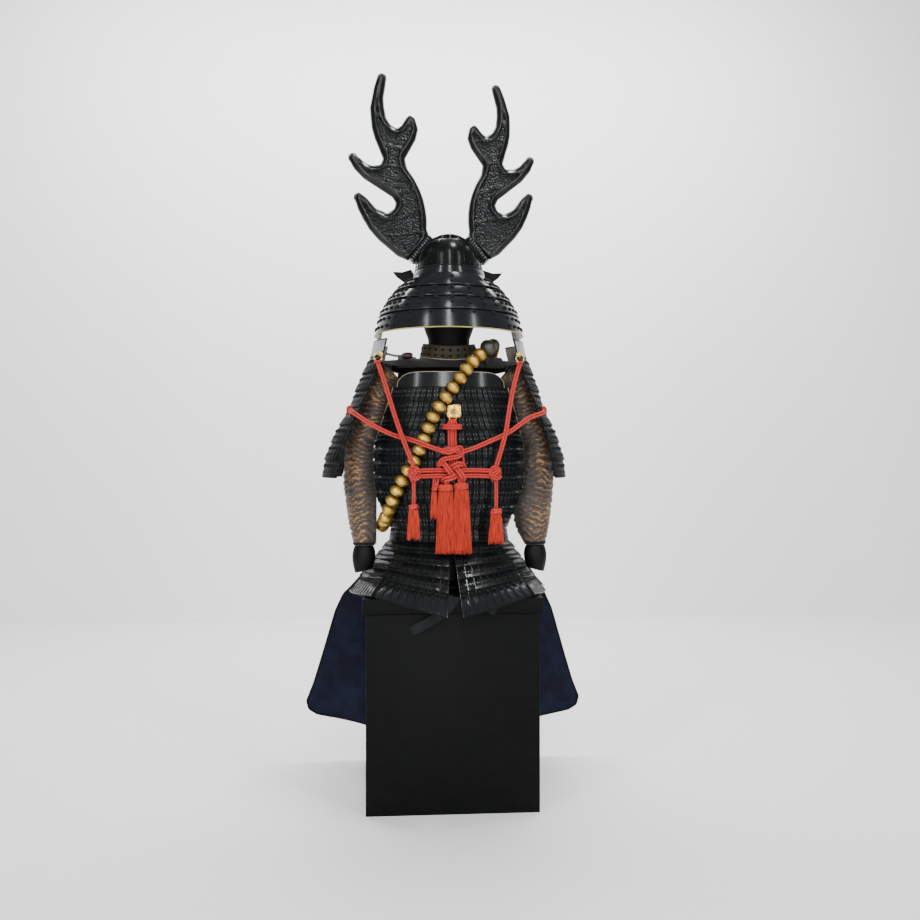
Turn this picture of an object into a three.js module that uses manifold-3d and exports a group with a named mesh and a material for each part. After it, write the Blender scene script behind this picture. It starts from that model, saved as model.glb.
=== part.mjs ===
// Samurai armour set out on its display box. Millimetres, +Z up.
// The origin is on the floor under the middle of the box. The armour faces +Y, its back faces -Y.

import * as THREE from 'three';
import { mergeVertices } from 'three/addons/utils/BufferGeometryUtils.js';
import Module from 'manifold-3d';

const wasm = await Module();
wasm.setup();

// Gap kept between pieces that touch, and the wall of each kind of piece.
const SEAM = 0.3;
const LAME_WALL = 2.4;
const LAME_LIP = 2.2;
const CLOTH_WALL = 2.2;

// Display box with its lid.
const BOX = { width: 432, depth: 400, height: 497.2 };
const LID = { width: 448, depth: 416, height: 38.5 };
const LID_TOP = BOX.height + SEAM + LID.height;

// Stand inside the armour: foot, post, shoulder bar, neck and head form.
const FOOT = { width: 190, depth: 170, height: 14 };
const POST_WIDTH = 46;
const BAR = { halfSpan: 152, depth: 22, bottom: 1092, clearance: 1.6 };
const NECK_BOTTOM = 1090;

// Body armour: half sizes of its rounded section at each height.
const TORSO_SQUARENESS = 2.4;
const TORSO = [
  { z: 640, halfWidth: 160, halfDepth: 121 },
  { z: 666, halfWidth: 156, halfDepth: 118 },
  { z: 697, halfWidth: 152, halfDepth: 114 },
  { z: 732, halfWidth: 168, halfDepth: 118 },
  { z: 765, halfWidth: 185, halfDepth: 123 },
  { z: 806, halfWidth: 196, halfDepth: 128 },
  { z: 844, halfWidth: 198, halfDepth: 131 },
  { z: 880, halfWidth: 198, halfDepth: 133 },
  { z: 916, halfWidth: 196, halfDepth: 134 },
  { z: 954, halfWidth: 190, halfDepth: 134 },
  { z: 1027, halfWidth: 184, halfDepth: 134 },
  { z: 1064, halfWidth: 178, halfDepth: 132 },
  { z: 1102, halfWidth: 172, halfDepth: 126 },
  { z: 1140, halfWidth: 168, halfDepth: 118 },
];

// Waist lames, each a full ring, from the armholes down to the hem.
const WAIST_LAMES = [
  { name: 'waist_lames_1', top: 916, bottom: 844, rows: 2 },
  { name: 'waist_lame_2', top: 844, bottom: 806, rows: 1 },
  { name: 'waist_lame_3', top: 806, bottom: 765, rows: 1 },
  { name: 'waist_lame_4', top: 765, bottom: 732, rows: 1 },
  { name: 'waist_lames_5', top: 732, bottom: 666, rows: 2 },
];
const RING_STEPS = 24;

// Back and breast above the armholes. Angles run from the middle of the back towards +X.
const UPPER_BACK = { top: 1064, bottom: 916, rows: 4, halfAngle: 53, lowHalfAngle: 86 };
const BACK_PLATE = { top: 1102, bottom: 1064, halfAngle: 47, cornerDrop: 24 };
const UPPER_FRONT = { top: 990, bottom: 916, rows: 2, halfAngle: 50, lowHalfAngle: 82 };
const ARMHOLE_CURVE = 1.5;
const BREAST_PLATE = { top: 1062, bottom: 990, halfAngle: 44, cornerDrop: 30 };

// Shoulder line that the yoke, the straps and the collar follow.
const SHOULDER = { peak: 1148, fallBack: 0.00266, fallSide: 0.00028 };
const YOKE = { neckWide: 70, neckDeep: 68, edgeWide: 193, edgeDeep: 112, squareness: 3 };
const STRAP = { x: 113, halfWidth: 24, wall: 3 };
const COLLAR = { halfWide: 71, halfDeep: 70, height: 38, wall: 3, openHalfAngle: 34 };

// Thigh-length skirt of laced panels under the waist.
// Waist angles in degrees, hem corners in millimetres, for the +X side and the middle front.
const SKIRT_TOP = 663.7;
const SKIRT_ROWS = 5;
const SKIRT_PANELS = [
  {
    name: 'skirt_back', from: 1.5, to: 45, mirrored: true,
    hemFrom: [20, -283, 499], hemTo: [193, -207.5, 538.6], bow: 6,
  },
  {
    name: 'skirt_side', from: 48, to: 98, mirrored: true,
    hemFrom: [208, -208, 541], hemTo: [264, 52, 516], bow: 12,
  },
  {
    name: 'skirt_front_side', from: 101, to: 147, mirrored: true,
    hemFrom: [266, 62, 524], hemTo: [200, 234, 549], bow: 10,
  },
  {
    name: 'skirt_front', from: 151, to: 209, mirrored: false,
    hemFrom: [120, 274, 503], hemTo: [-120, 274, 503], bow: 5,
  },
];

// Helmet: bowl, then the bands and lames of the neck guard.
const BOWL = { base: 1379, height: 102, halfWide: 90, halfDeep: 112, wall: 2.6 };
const HELMET_BAND = { top: 1378.7, bottom: 1352, topWide: 90.4, topDeep: 112.4, lowWide: 98, lowDeep: 120 };
const NECK_GUARD = [
  { name: 'neck_lame_1', top: 1357, bottom: 1323, topWide: 99.8, topDeep: 122.6, lowWide: 146, lowDeep: 142 },
  { name: 'neck_lame_2', top: 1328, bottom: 1293, topWide: 135.5, topDeep: 135.5, lowWide: 167, lowDeep: 157 },
  { name: 'neck_lame_3', top: 1298, bottom: 1257, topWide: 159.7, topDeep: 151.1, lowWide: 186, lowDeep: 174 },
  { name: 'neck_lame_4', top: 1262, bottom: 1206, topWide: 180.2, topDeep: 168.7, lowWide: 197, lowDeep: 194 },
];
const NECK_GUARD_HALF_ANGLE = 112;
const PEAK = { halfAngle: 58, reach: 52, drop: 20, clearance: 4.5 };

// Antlers: outline of the left one round the middle of its ribbed collar, seen from behind.
const ANTLER_ROOT = { x: -75, y: 0, z: 1441 };
const ANTLER_SLOPE = 52.4;
const ANTLER_COLLAR = { length: 84, halfThick: 9, halfDeep: 20, ribs: 8, groove: 0.84 };
const ANTLER_BODY = { core: 12, edgeDepth: 11, edgeInset: 5 };
const LEFT_ANTLER = { size: 1, lean: 0 };
const RIGHT_ANTLER = { size: 0.935, lean: 6 };
const ANTLER_OUTLINE = [
  [-34, -28], [-62, -16], [-81, 0], [-113, 27], [-137, 54], [-153, 81], [-166, 107], [-175, 134],
  [-167, 150], [-145, 134], [-121, 107], [-89, 93], [-70, 107], [-65, 124], [-75, 141], [-107, 161],
  [-150, 188], [-177, 215], [-191, 240], [-183, 252], [-165, 242], [-150, 228], [-129, 220],
  [-107, 224], [-99, 241], [-110, 269], [-121, 295], [-129, 322], [-132, 349], [-134, 376],
  [-129, 403], [-124, 430], [-116, 456], [-103, 468], [-94, 456], [-98, 430], [-102, 403],
  [-100, 376], [-94, 349], [-82, 331], [-63, 321], [-51, 330], [-39, 349], [-30, 358], [-17, 349],
  [-9, 322], [-16, 295], [-30, 269], [-45, 242], [-38, 215], [-19, 188], [-5, 161], [5, 134],
  [11, 107], [14, 81], [14, 54], [19, 40],
];

// Horn-shaped turnback at each front end of the neck guard, seen from behind on the -X side.
const TURNBACK = { y: 58, wall: 3 };
const TURNBACK_OUTLINE = [
  [-87.2, 1377], [-100, 1400], [-125, 1392], [-152, 1393], [-140, 1378], [-121, 1364], [-87.6, 1358],
];

// Shoulder guards: seven laced rows that hang outside the arm. Columns are for the -X side.
const SODE_ROWS = 7;
const SODE = [
  { z: 1148, out: 209, rear: 172, halfLength: 92 },
  { z: 1065, out: 242, rear: 205, halfLength: 104 },
  { z: 1014, out: 256, rear: 226, halfLength: 110 },
  { z: 952, out: 292, rear: 252, halfLength: 114 },
  { z: 880, out: 318, rear: 270, halfLength: 118 },
  { z: 830, out: 322, rear: 281, halfLength: 120 },
];
const SODE_MIDDLE = 12;
const SODE_SWING = 14;
const SODE_CAP = { bottom: 1149.4, top: 1192, leanIn: 10, wall: 3 };

const GUARD_RING_RADIUS = 10;
const GUARD_RINGS = {
  left: { x: -188, y: -94, z: 1141, studX: -175, studY: -77.5, studZ: 1151.5 },
  right: { x: 180, y: -94, z: 1141, studX: 175, studY: -77.5, studZ: 1151.5 },
};

// Gathered sleeves. Each row is a ring: middle, tilt from level and half sizes, on the -X side.
const SLEEVE = [
  { x: 165, y: 0, z: 1098.1, tilt: 62, wide: 43, deep: 50 },
  { x: 187, y: 0, z: 1063, tilt: 36, wide: 41, deep: 49 },
  { x: 200, y: 0, z: 1020, tilt: 20, wide: 39, deep: 47 },
  { x: 212, y: 0, z: 978, tilt: 14, wide: 36, deep: 45 },
  { x: 237, y: -3, z: 925, tilt: 12, wide: 32, deep: 40 },
  { x: 241, y: -8, z: 869, tilt: 4, wide: 33, deep: 38 },
  { x: 243, y: -16, z: 816, tilt: 0, wide: 33, deep: 36 },
  { x: 238, y: -30, z: 760, tilt: -6, wide: 31, deep: 33 },
  { x: 232, y: -44, z: 706, tilt: -6, wide: 27, deep: 28 },
  { x: 225, y: -56, z: 655, tilt: 0, wide: 22, deep: 23 },
];
const SLEEVE_GATHERS = 9;
const SLEEVE_SIDES = 12;
const GATHER_DEPTH = 2.6;
const HAND_GUARD = { x: 225, y: -56, top: 653.9, bottom: 596, wide: 22, deep: 23, from: -150, to: 60 };

// Apron that covers the thighs: rows of its drop over the front edge of the lid.
const APRON_INNER = 10;
const APRON_HEM_SLOPE = 0.25;
const APRON = [
  { y: 109.4, z: 639.1, outer: 104, curl: 34 },
  { y: 153, z: 594, outer: 152, curl: 14 },
  { y: 178, z: 568, outer: 176, curl: 6 },
  { y: 208.1, z: 538.6, outer: 213, curl: 0 },
  { y: 212, z: 518, outer: 262, curl: 0 },
  { y: 219, z: 490, outer: 292, curl: 0 },
  { y: 228, z: 440, outer: 316, curl: 0 },
  { y: 240, z: 320, outer: 352, curl: 0 },
  { y: 248, z: 225, outer: 381, curl: 0 },
  { y: 250, z: 172, outer: 401, curl: 0 },
  { y: 250, z: 150, outer: 395, curl: 0 },
  { y: 250, z: 140, outer: 368, curl: 0 },
];
const APRON_FOLDS = 2;
const APRON_FOLD_DEPTH = 5;
const APRON_BELT = { top: 660, bottom: 641, halfWidth: 134, halfDepth: 109, halfAngle: 75 };

// String of large wooden beads, from the right shoulder across the back to the left hip and round.
const BEAD = { pitch: 30, radius: 19, neck: 6 };
const BEAD_LOOP = [
  [105, -103, 1172], [77, -119, 1150], [55, -133, 1130], [20, -154, 1084], [-15, -159, 1037],
  [-47, -159, 989], [-69, -157, 935], [-93, -154, 880], [-125, -143, 827], [-148, -123, 779],
  [-165, -94, 737], [-174, -50, 712], [-178, 0, 702], [-170, 62, 708], [-130, 126, 742],
  [-70, 153, 800], [0, 161, 868], [62, 161, 945], [96, 156, 1020], [112, 155, 1075],
  [120, 143, 1120], [122, 112, 1155], [121, 62, 1168], [117, 8, 1171.5], [113, -50, 1172],
];

// Red braid: radius of one strand of a pair, and the routes across the back.
const BRAID = 3;
const UPPER_CORD_LEFT = [
  [-188, -94, 1128.4], [-167, -116, 1063], [-145, -136, 990], [-128, -153, 940], [-111, -176, 895],
  [-98, -181, 863.2],
];
const UPPER_CORD_RIGHT = [
  [180, -94, 1128.4], [162, -112, 1070], [148, -128, 1005], [136, -146, 944], [124, -146, 900],
  [113, -145, 862.6],
];
const MIDDLE_CORD = [
  [-265, -62, 1007], [-247, -108, 996], [-205, -118, 968], [-150, -128, 941], [-122, -140, 933],
  [-99, -170, 926], [-76, -180, 917], [-45, -170, 906], [0, -157.6, 894], [40, -154, 902], [90, -146, 922],
  [150, -133, 950], [200, -122, 985], [238, -107, 999], [250.2, -60, 1008],
];
const KNOT_Y = -152;
const LOOP_ENDS = [{ x: -96, y: -177 }, { x: 112, y: -142 }];
const LOOP_LEVELS = [852, 838];
const LOOP_CORD = 4.6;
const LOOP_SIDES = 5;
const STEM = { top: 968, bottom: 890 };
const RING_PLATE = { x: 5, y: -140.6, z: 1001, width: 36, height: 34, wall: 2.5 };

// Tassels: where each hangs, how long and how wide its skirt is, and its strands.
const TASSELS = [
  { name: 'tassel_left', hangs: [-98, -179, 827.3], drop: 62, length: 84, width: 30, depth: 20, across: 5, deep: 3 },
  { name: 'tassel_right', hangs: [112, -144, 827.3], drop: 76, length: 86, width: 36, depth: 20, across: 5, deep: 3 },
  { name: 'tassel_small', hangs: [-46, -160, 836], drop: 28, length: 76, width: 17, depth: 12, across: 3, deep: 3 },
];
const GREAT_TASSELS = {
  name: 'tassel_pair', middles: [-17, 24], y: -159, top: 814, length: 166, width: 40, depth: 26,
  across: 7, deep: 3,
};
const STRAND = 2.3;

// Small fastenings: a toggle with its cords on the left shoulder, and the tapes behind the box.
const TOGGLE = { from: [-126, -70, 1148.1], to: [-98, -72, 1149.1], radius: 9 };
const TOGGLE_CORD = [[-166, -74, 1153], [-146, -71, 1148.5], [-125, -70, 1148.1]];
const TAPE = { width: 20, wall: 1.6 };
const TAPE_LONG = [[6, -200, 537.2], [2, -212, 539.2], [-7, -218, 522], [-48, -221, 488], [-104, -220, 458]];
const TAPE_SHORT = [[44, -200, 537.2], [50, -212.4, 539.6], [64, -218, 526], [104, -220, 505]];

const LACQUER = { color: 0x0b0c0e, roughness: 0.22, metalness: 0 };
const LACED = { color: 0x0d0e10, roughness: 0.4, metalness: 0 };
const ANTLER_FINISH = { color: 0x131416, roughness: 0.35, metalness: 0 };
const BROCADE = { color: 0x6b4a2c, roughness: 0.6, metalness: 0 };
const NAVY_CLOTH = { color: 0x12162e, roughness: 0.85, metalness: 0 };
const BLACK_CLOTH = { color: 0x101012, roughness: 0.9, metalness: 0 };
const COLLAR_CLOTH = { color: 0x3e3a30, roughness: 0.85, metalness: 0 };
const RED_BRAID = { color: 0xc8453a, roughness: 0.7, metalness: 0 };
const GILT_WOOD = { color: 0xbe9a48, roughness: 0.35, metalness: 0.4 };
const GILT_METAL = { color: 0xd0ac58, roughness: 0.3, metalness: 1 };
const BOX_PAINT = { color: 0x151816, roughness: 0.6, metalness: 0 };
const TOGGLE_FINISH = { color: 0x3a1e2a, roughness: 0.4, metalness: 0 };

const armour = new THREE.Group();

// Adds one finished piece under its name.
function addPiece(name, geometry, finish) {
  const piece = new THREE.Mesh(geometry, new THREE.MeshStandardMaterial(finish));
  piece.name = name;
  armour.add(piece);
  return piece;
}

const vec = (x, y, z) => new THREE.Vector3(x, y, z);
const radians = THREE.MathUtils.degToRad;
const mix = THREE.MathUtils.lerp;
const spread = (from, to, count) => Array.from({ length: count + 1 }, (_, i) => mix(from, to, i / count));

// Signed power that keeps a rounded section going smoothly through all four quarters.
const bulge = (value, power) => Math.sign(value) * Math.abs(value) ** power;

// Reads a table of named columns at a place along one of its columns.
function tableAt(rows, key, value) {
  const rising = rows[rows.length - 1][key] > rows[0][key];
  let next = rows.findIndex((row) => (rising ? row[key] >= value : row[key] <= value));
  if (next < 0) next = rows.length - 1;
  next = Math.max(next, 1);
  const [before, after] = [rows[next - 1], rows[next]];
  const part = (value - before[key]) / (after[key] - before[key]);
  const read = {};
  for (const column of Object.keys(before)) {
    read[column] = mix(before[column], after[column], part);
  }
  return read;
}

// Reads a table at a share of its rows, from 0 at the first to 1 at the last.
function tableAlong(rows, share) {
  const place = THREE.MathUtils.clamp(share, 0, 1) * (rows.length - 1);
  const first = Math.min(Math.floor(place), rows.length - 2);
  const read = {};
  for (const column of Object.keys(rows[0])) {
    read[column] = mix(rows[first][column], rows[first + 1][column], place - first);
  }
  return read;
}

// Closed body from points and triangles, turned so that its faces point out.
function closedBody(points, triangles) {
  const normal = vec(0, 0, 0);
  let volume = 0;
  for (const [a, b, c] of triangles) {
    volume += points[a].dot(normal.crossVectors(points[b], points[c]));
  }
  const geometry = new THREE.BufferGeometry();
  const flat = points.flatMap((point) => [point.x, point.y, point.z]);
  geometry.setAttribute('position', new THREE.Float32BufferAttribute(flat, 3));
  geometry.setIndex(triangles.flatMap(([a, b, c]) => (volume < 0 ? [a, c, b] : [a, b, c])));
  return geometry;
}

// Triangles between the outer and inner points of a wall's free edge, which may differ in count.
function closeEdge(outerCount, innerCount, out, back, triangles, turned) {
  let [row, behindRow] = [0, 0];
  const add = (a, b, c) => triangles.push(turned ? [a, c, b] : [a, b, c]);
  while (row < outerCount - 1 || behindRow < innerCount - 1) {
    const outerNext = row < outerCount - 1 ? (row + 1) / (outerCount - 1) : Infinity;
    const innerNext = behindRow < innerCount - 1 ? (behindRow + 1) / (innerCount - 1) : Infinity;
    if (outerNext <= innerNext) {
      add(out(row), back(behindRow), out(row + 1));
      row += 1;
    } else {
      add(out(row), back(behindRow), back(behindRow + 1));
      behindRow += 1;
    }
  }
}

// Closes an outer and an inner grid of points into one wall.
function closeWall(outer, inner, round) {
  const columns = outer[0].length;
  const spans = round ? columns : columns - 1;
  const points = [...outer.flat(), ...inner.flat()];
  const triangles = [];
  const quad = (a, b, c, d) => triangles.push([a, b, c], [a, c, d]);
  const innerStart = outer.length * columns;
  const out = (row, column) => row * columns + (column % columns);
  const back = (row, column) => innerStart + row * columns + (column % columns);
  for (let column = 0; column < spans; column += 1) {
    const next = column + 1;
    for (let row = 0; row < outer.length - 1; row += 1) {
      quad(out(row, column), out(row + 1, column), out(row + 1, next), out(row, next));
    }
    for (let row = 0; row < inner.length - 1; row += 1) {
      quad(back(row, column), back(row, next), back(row + 1, next), back(row + 1, column));
    }
    const [lowOut, lowBack] = [outer.length - 1, inner.length - 1];
    quad(out(0, column), out(0, next), back(0, next), back(0, column));
    quad(out(lowOut, next), out(lowOut, column), back(lowBack, column), back(lowBack, next));
  }
  if (!round) {
    closeEdge(outer.length, inner.length, (row) => out(row, 0), (row) => back(row, 0), triangles, false);
    closeEdge(outer.length, inner.length, (row) => out(row, spans), (row) => back(row, spans), triangles, true);
  }
  return closedBody(points, triangles);
}

// Wall on a surface place(u, v): plain inside, outside raised by its thickness and relief.
function wall({ place, across, down, innerDown = down, thick, relief = () => 0, round = false, side = 1 }) {
  const small = 1e-3;
  const outerPoint = (u, v) => {
    const alongU = place(u + small, v).sub(place(u - small, v));
    const alongV = place(u, v + small).sub(place(u, v - small));
    const normal = alongU.cross(alongV).normalize();
    return place(u, v).addScaledVector(normal, side * (thick + relief(u, v)));
  };
  const outer = down.map((v) => across.map((u) => outerPoint(u, v)));
  const inner = innerDown.map((v) => across.map((u) => place(u, v)));
  return closeWall(outer, inner, round);
}

// Closed solid through rings of equal count, with flat ends unless it closes on itself.
function loft(rings, closed = false) {
  const sides = rings[0].length;
  const triangles = [];
  const last = closed ? rings.length : rings.length - 1;
  for (let ring = 0; ring < last; ring += 1) {
    const [near, far] = [ring * sides, ((ring + 1) % rings.length) * sides];
    for (let side = 0; side < sides; side += 1) {
      const next = (side + 1) % sides;
      triangles.push([near + side, far + side, far + next], [near + side, far + next, near + next]);
    }
  }
  if (!closed) {
    const end = (rings.length - 1) * sides;
    for (let side = 1; side < sides - 1; side += 1) {
      triangles.push([0, side, side + 1], [end, end + side + 1, end + side]);
    }
  }
  return closedBody(rings.flat(), triangles);
}

// Sweeps a section of [across, out] points along a route. Out is the side that faces away.
function sweep({ route, steps, section, away, closed = false, size = () => 1 }) {
  const curve = new THREE.CatmullRomCurve3(route.map((point) => vec(...point)), closed, 'centripetal');
  const count = closed ? steps : steps + 1;
  const rings = Array.from({ length: count }, (_, i) => {
    const share = i / steps;
    const middle = curve.getPointAt(share);
    const along = curve.getTangentAt(share);
    const across = vec(0, 0, 0).crossVectors(along, away(middle)).normalize();
    const out = vec(0, 0, 0).crossVectors(across, along).normalize();
    const scale = size(i);
    return section.map(([a, b]) => (
      middle.clone().addScaledVector(across, a * scale).addScaledVector(out, b * scale)
    ));
  });
  return loft(rings, closed);
}

const roundSection = (radius, sides) => Array.from({ length: sides }, (_, i) => {
  const angle = (i / sides) * 2 * Math.PI;
  return [radius * Math.cos(angle), radius * Math.sin(angle)];
});

// Two strands side by side as one outline with a waist between them.
const pairSection = (radius) => [
  [-2 * radius, 0], [-1.5 * radius, -0.87 * radius], [-0.5 * radius, -0.87 * radius], [0, -0.45 * radius],
  [0.5 * radius, -0.87 * radius], [1.5 * radius, -0.87 * radius], [2 * radius, 0],
  [1.5 * radius, 0.87 * radius], [0.5 * radius, 0.87 * radius], [0, 0.45 * radius],
  [-0.5 * radius, 0.87 * radius], [-1.5 * radius, 0.87 * radius],
];

const behind = () => vec(0, -1, 0);
const outFromMiddle = (point) => vec(point.x, point.y, 0).normalize();

// Solid for joining and cutting, and the mesh of a joined solid.
function solidOf(geometry) {
  const merged = mergeVertices(solidReady(geometry), 1e-4);
  return new wasm.Manifold(new wasm.Mesh({
    numProp: 3,
    vertProperties: new Float32Array(merged.attributes.position.array),
    triVerts: new Uint32Array(merged.index.array),
  }));
}

function geometryOf(solid) {
  const mesh = solid.getMesh();
  const geometry = new THREE.BufferGeometry();
  geometry.setAttribute('position', new THREE.Float32BufferAttribute(mesh.vertProperties, 3));
  geometry.setIndex(Array.from(mesh.triVerts));
  return geometry;
}

// Joins geometries into one solid and fills any hollow that the join would seal in.
function joined(geometries) {
  const sum = geometries.map(solidOf).reduce((all, next) => all.add(next));
  const shells = sum.decompose().filter((shell) => shell.volume() > 0);
  return geometryOf(shells.reduce((all, next) => all.add(next)));
}

// Box by its size and the middle of its base.
function block(width, depth, height, x, y, z) {
  return new THREE.BoxGeometry(width, depth, height).translate(x, y, z + height / 2);
}

// Upright turned solid or shell from a profile of [radius, height], widened front to back.
function turned(profile, segments, deepening, y = 0) {
  const lathe = new THREE.LatheGeometry(profile.map(([r, z]) => new THREE.Vector2(r, z)), segments);
  lathe.rotateX(Math.PI / 2);
  lathe.scale(1, deepening, 1);
  lathe.translate(0, y, 0);
  const position = lathe.attributes.position;
  const points = Array.from({ length: position.count }, (_, i) => vec(0, 0, 0).fromBufferAttribute(position, i));
  const index = Array.from(lathe.index.array);
  const triangles = Array.from({ length: index.length / 3 }, (_, i) => index.slice(3 * i, 3 * i + 3));
  return closedBody(points, triangles);
}

// Flat plate from an outline of [x, z] points, its middle plane at y.
function plate(outline, y, core, bevel) {
  const shape = new THREE.Shape(outline.map(([x, z]) => new THREE.Vector2(x, z)));
  const geometry = new THREE.ExtrudeGeometry(shape, {
    depth: core,
    steps: 1,
    bevelEnabled: Boolean(bevel),
    bevelThickness: bevel ? bevel.depth : 0,
    bevelSize: bevel ? bevel.inset : 0,
    bevelOffset: bevel ? -bevel.inset : 0,
    bevelSegments: 1,
  });
  geometry.rotateX(Math.PI / 2);
  geometry.translate(0, y + core / 2, 0);
  return geometry;
}

// Mirror of a geometry across X = 0, with its faces turned back out.
function mirrored(geometry) {
  const source = geometry.index ? geometry : mergeVertices(solidReady(geometry));
  const position = source.attributes.position;
  const points = Array.from({ length: position.count }, (_, i) => {
    const point = vec(0, 0, 0).fromBufferAttribute(position, i);
    return point.setX(-point.x);
  });
  const index = Array.from(source.index.array);
  const triangles = Array.from({ length: index.length / 3 }, (_, i) => index.slice(3 * i, 3 * i + 3));
  return closedBody(points, triangles);
}

function solidReady(geometry) {
  const bare = geometry.clone();
  bare.deleteAttribute('normal');
  bare.deleteAttribute('uv');
  return bare;
}

// Sawtooth relief of laced rows: each row stands proud at its lower edge.
const rowEdge = 0.004;
function rowStops(rows) {
  const stops = Array.from({ length: rows }, (_, i) => [i / rows + (i ? rowEdge : 0), (i + 1) / rows]);
  return stops.flat();
}
const rowLip = (rows, lip) => (u, v) => {
  const inRow = v < rowEdge ? 0 : v * rows - Math.ceil(v * rows - 1e-6) + 1;
  return lip * THREE.MathUtils.clamp(inRow, 0, 1);
};

// Point of the body section at an angle from the middle of the back and at a height.
function torsoPoint(angle, z) {
  const size = tableAt(TORSO, 'z', z);
  const power = 2 / TORSO_SQUARENESS;
  return vec(size.halfWidth * bulge(Math.sin(angle), power), -size.halfDepth * bulge(Math.cos(angle), power), z);
}

const shoulderHeight = (x, y) => SHOULDER.peak - SHOULDER.fallBack * y * y - SHOULDER.fallSide * x * x;

function addBox() {
  addPiece('display_box', block(BOX.width, BOX.depth, BOX.height, 0, 0, 0), BOX_PAINT);
  addPiece('box_lid', block(LID.width, LID.depth, LID.height, 0, 0, BOX.height + SEAM), BOX_PAINT);
}

function addStand() {
  const foot = block(FOOT.width, FOOT.depth, FOOT.height, 0, 0, LID_TOP + SEAM);
  const post = block(POST_WIDTH, POST_WIDTH, 1200 - LID_TOP, 0, 0, LID_TOP + 5);
  const barTop = (x) => shoulderHeight(x, 0) - SEAM - BAR.clearance;
  const barOutline = [
    [-BAR.halfSpan, BAR.bottom + 24], [-60, BAR.bottom], [60, BAR.bottom], [BAR.halfSpan, BAR.bottom + 24],
    [BAR.halfSpan, barTop(BAR.halfSpan)], [YOKE.neckWide, barTop(YOKE.neckWide)],
    [-YOKE.neckWide, barTop(YOKE.neckWide)], [-BAR.halfSpan, barTop(BAR.halfSpan)],
  ];
  const bar = plate(barOutline, 0, BAR.depth);
  const headTop = BOWL.base + BOWL.height - BOWL.wall - SEAM;
  const form = turned([
    [0, NECK_BOTTOM], [50, NECK_BOTTOM], [55, 1125], [56, 1200], [66, 1226], [76, 1270], [80, 1340], [74, 1400],
    [58, 1440], [32, 1467], [0, headTop],
  ], 20, 1.1);
  addPiece('stand', joined([foot, post, bar, form]), BLACK_CLOTH);
}

function addBodyArmour() {
  const ring = spread(0, 2 * Math.PI, RING_STEPS).slice(0, -1);
  for (const lame of WAIST_LAMES) {
    const [top, bottom] = [lame.top - SEAM / 2, lame.bottom + SEAM / 2];
    addPiece(lame.name, wall({
      place: (u, v) => torsoPoint(u, mix(top, bottom, v)),
      across: ring,
      down: rowStops(lame.rows),
      innerDown: [0, 0.5, 1],
      thick: LAME_WALL,
      relief: rowLip(lame.rows, LAME_LIP),
      round: true,
      side: -1,
    }), LACED);
  }
  const arc = (middle, half, steps) => spread(radians(middle - half), radians(middle + half), steps);
  const cornered = (size, middle) => (u, v) => {
    const reach = Math.abs(u - radians(middle)) / radians(size.halfAngle);
    const top = size.top - size.cornerDrop * Math.min(reach, 1.02) ** 7;
    return torsoPoint(u, mix(top, size.bottom + SEAM / 2, v));
  };
  const rows = (size) => (u, v) => torsoPoint(u, mix(size.top - SEAM / 2, size.bottom + SEAM / 2, v));
  const widening = (size, middle) => (u, v) => {
    const share = mix(1, size.lowHalfAngle / size.halfAngle, Math.max(v, 0) ** ARMHOLE_CURVE);
    return rows(size)(radians(middle) + (u - radians(middle)) * share, v);
  };
  addPiece('upper_back_lames', wall({
    place: widening(UPPER_BACK, 0), across: arc(0, UPPER_BACK.halfAngle, 12), down: rowStops(UPPER_BACK.rows),
    innerDown: spread(0, 1, UPPER_BACK.rows), thick: LAME_WALL, relief: rowLip(UPPER_BACK.rows, LAME_LIP), side: -1,
  }), LACED);
  addPiece('back_plate', wall({
    place: cornered(BACK_PLATE, 0), across: arc(0, BACK_PLATE.halfAngle, 14), down: [0, 0.5, 1],
    thick: LAME_WALL, side: -1,
  }), LACQUER);
  addPiece('upper_front_lames', wall({
    place: widening(UPPER_FRONT, 180), across: arc(180, UPPER_FRONT.halfAngle, 10), down: rowStops(UPPER_FRONT.rows),
    innerDown: [0, 0.5, 1], thick: LAME_WALL, relief: rowLip(UPPER_FRONT.rows, LAME_LIP), side: -1,
  }), LACED);
  addPiece('breast_plate', wall({
    place: cornered(BREAST_PLATE, 180), across: arc(180, BREAST_PLATE.halfAngle, 12), down: [0, 0.5, 1],
    thick: LAME_WALL, side: -1,
  }), LACQUER);
}

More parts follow.
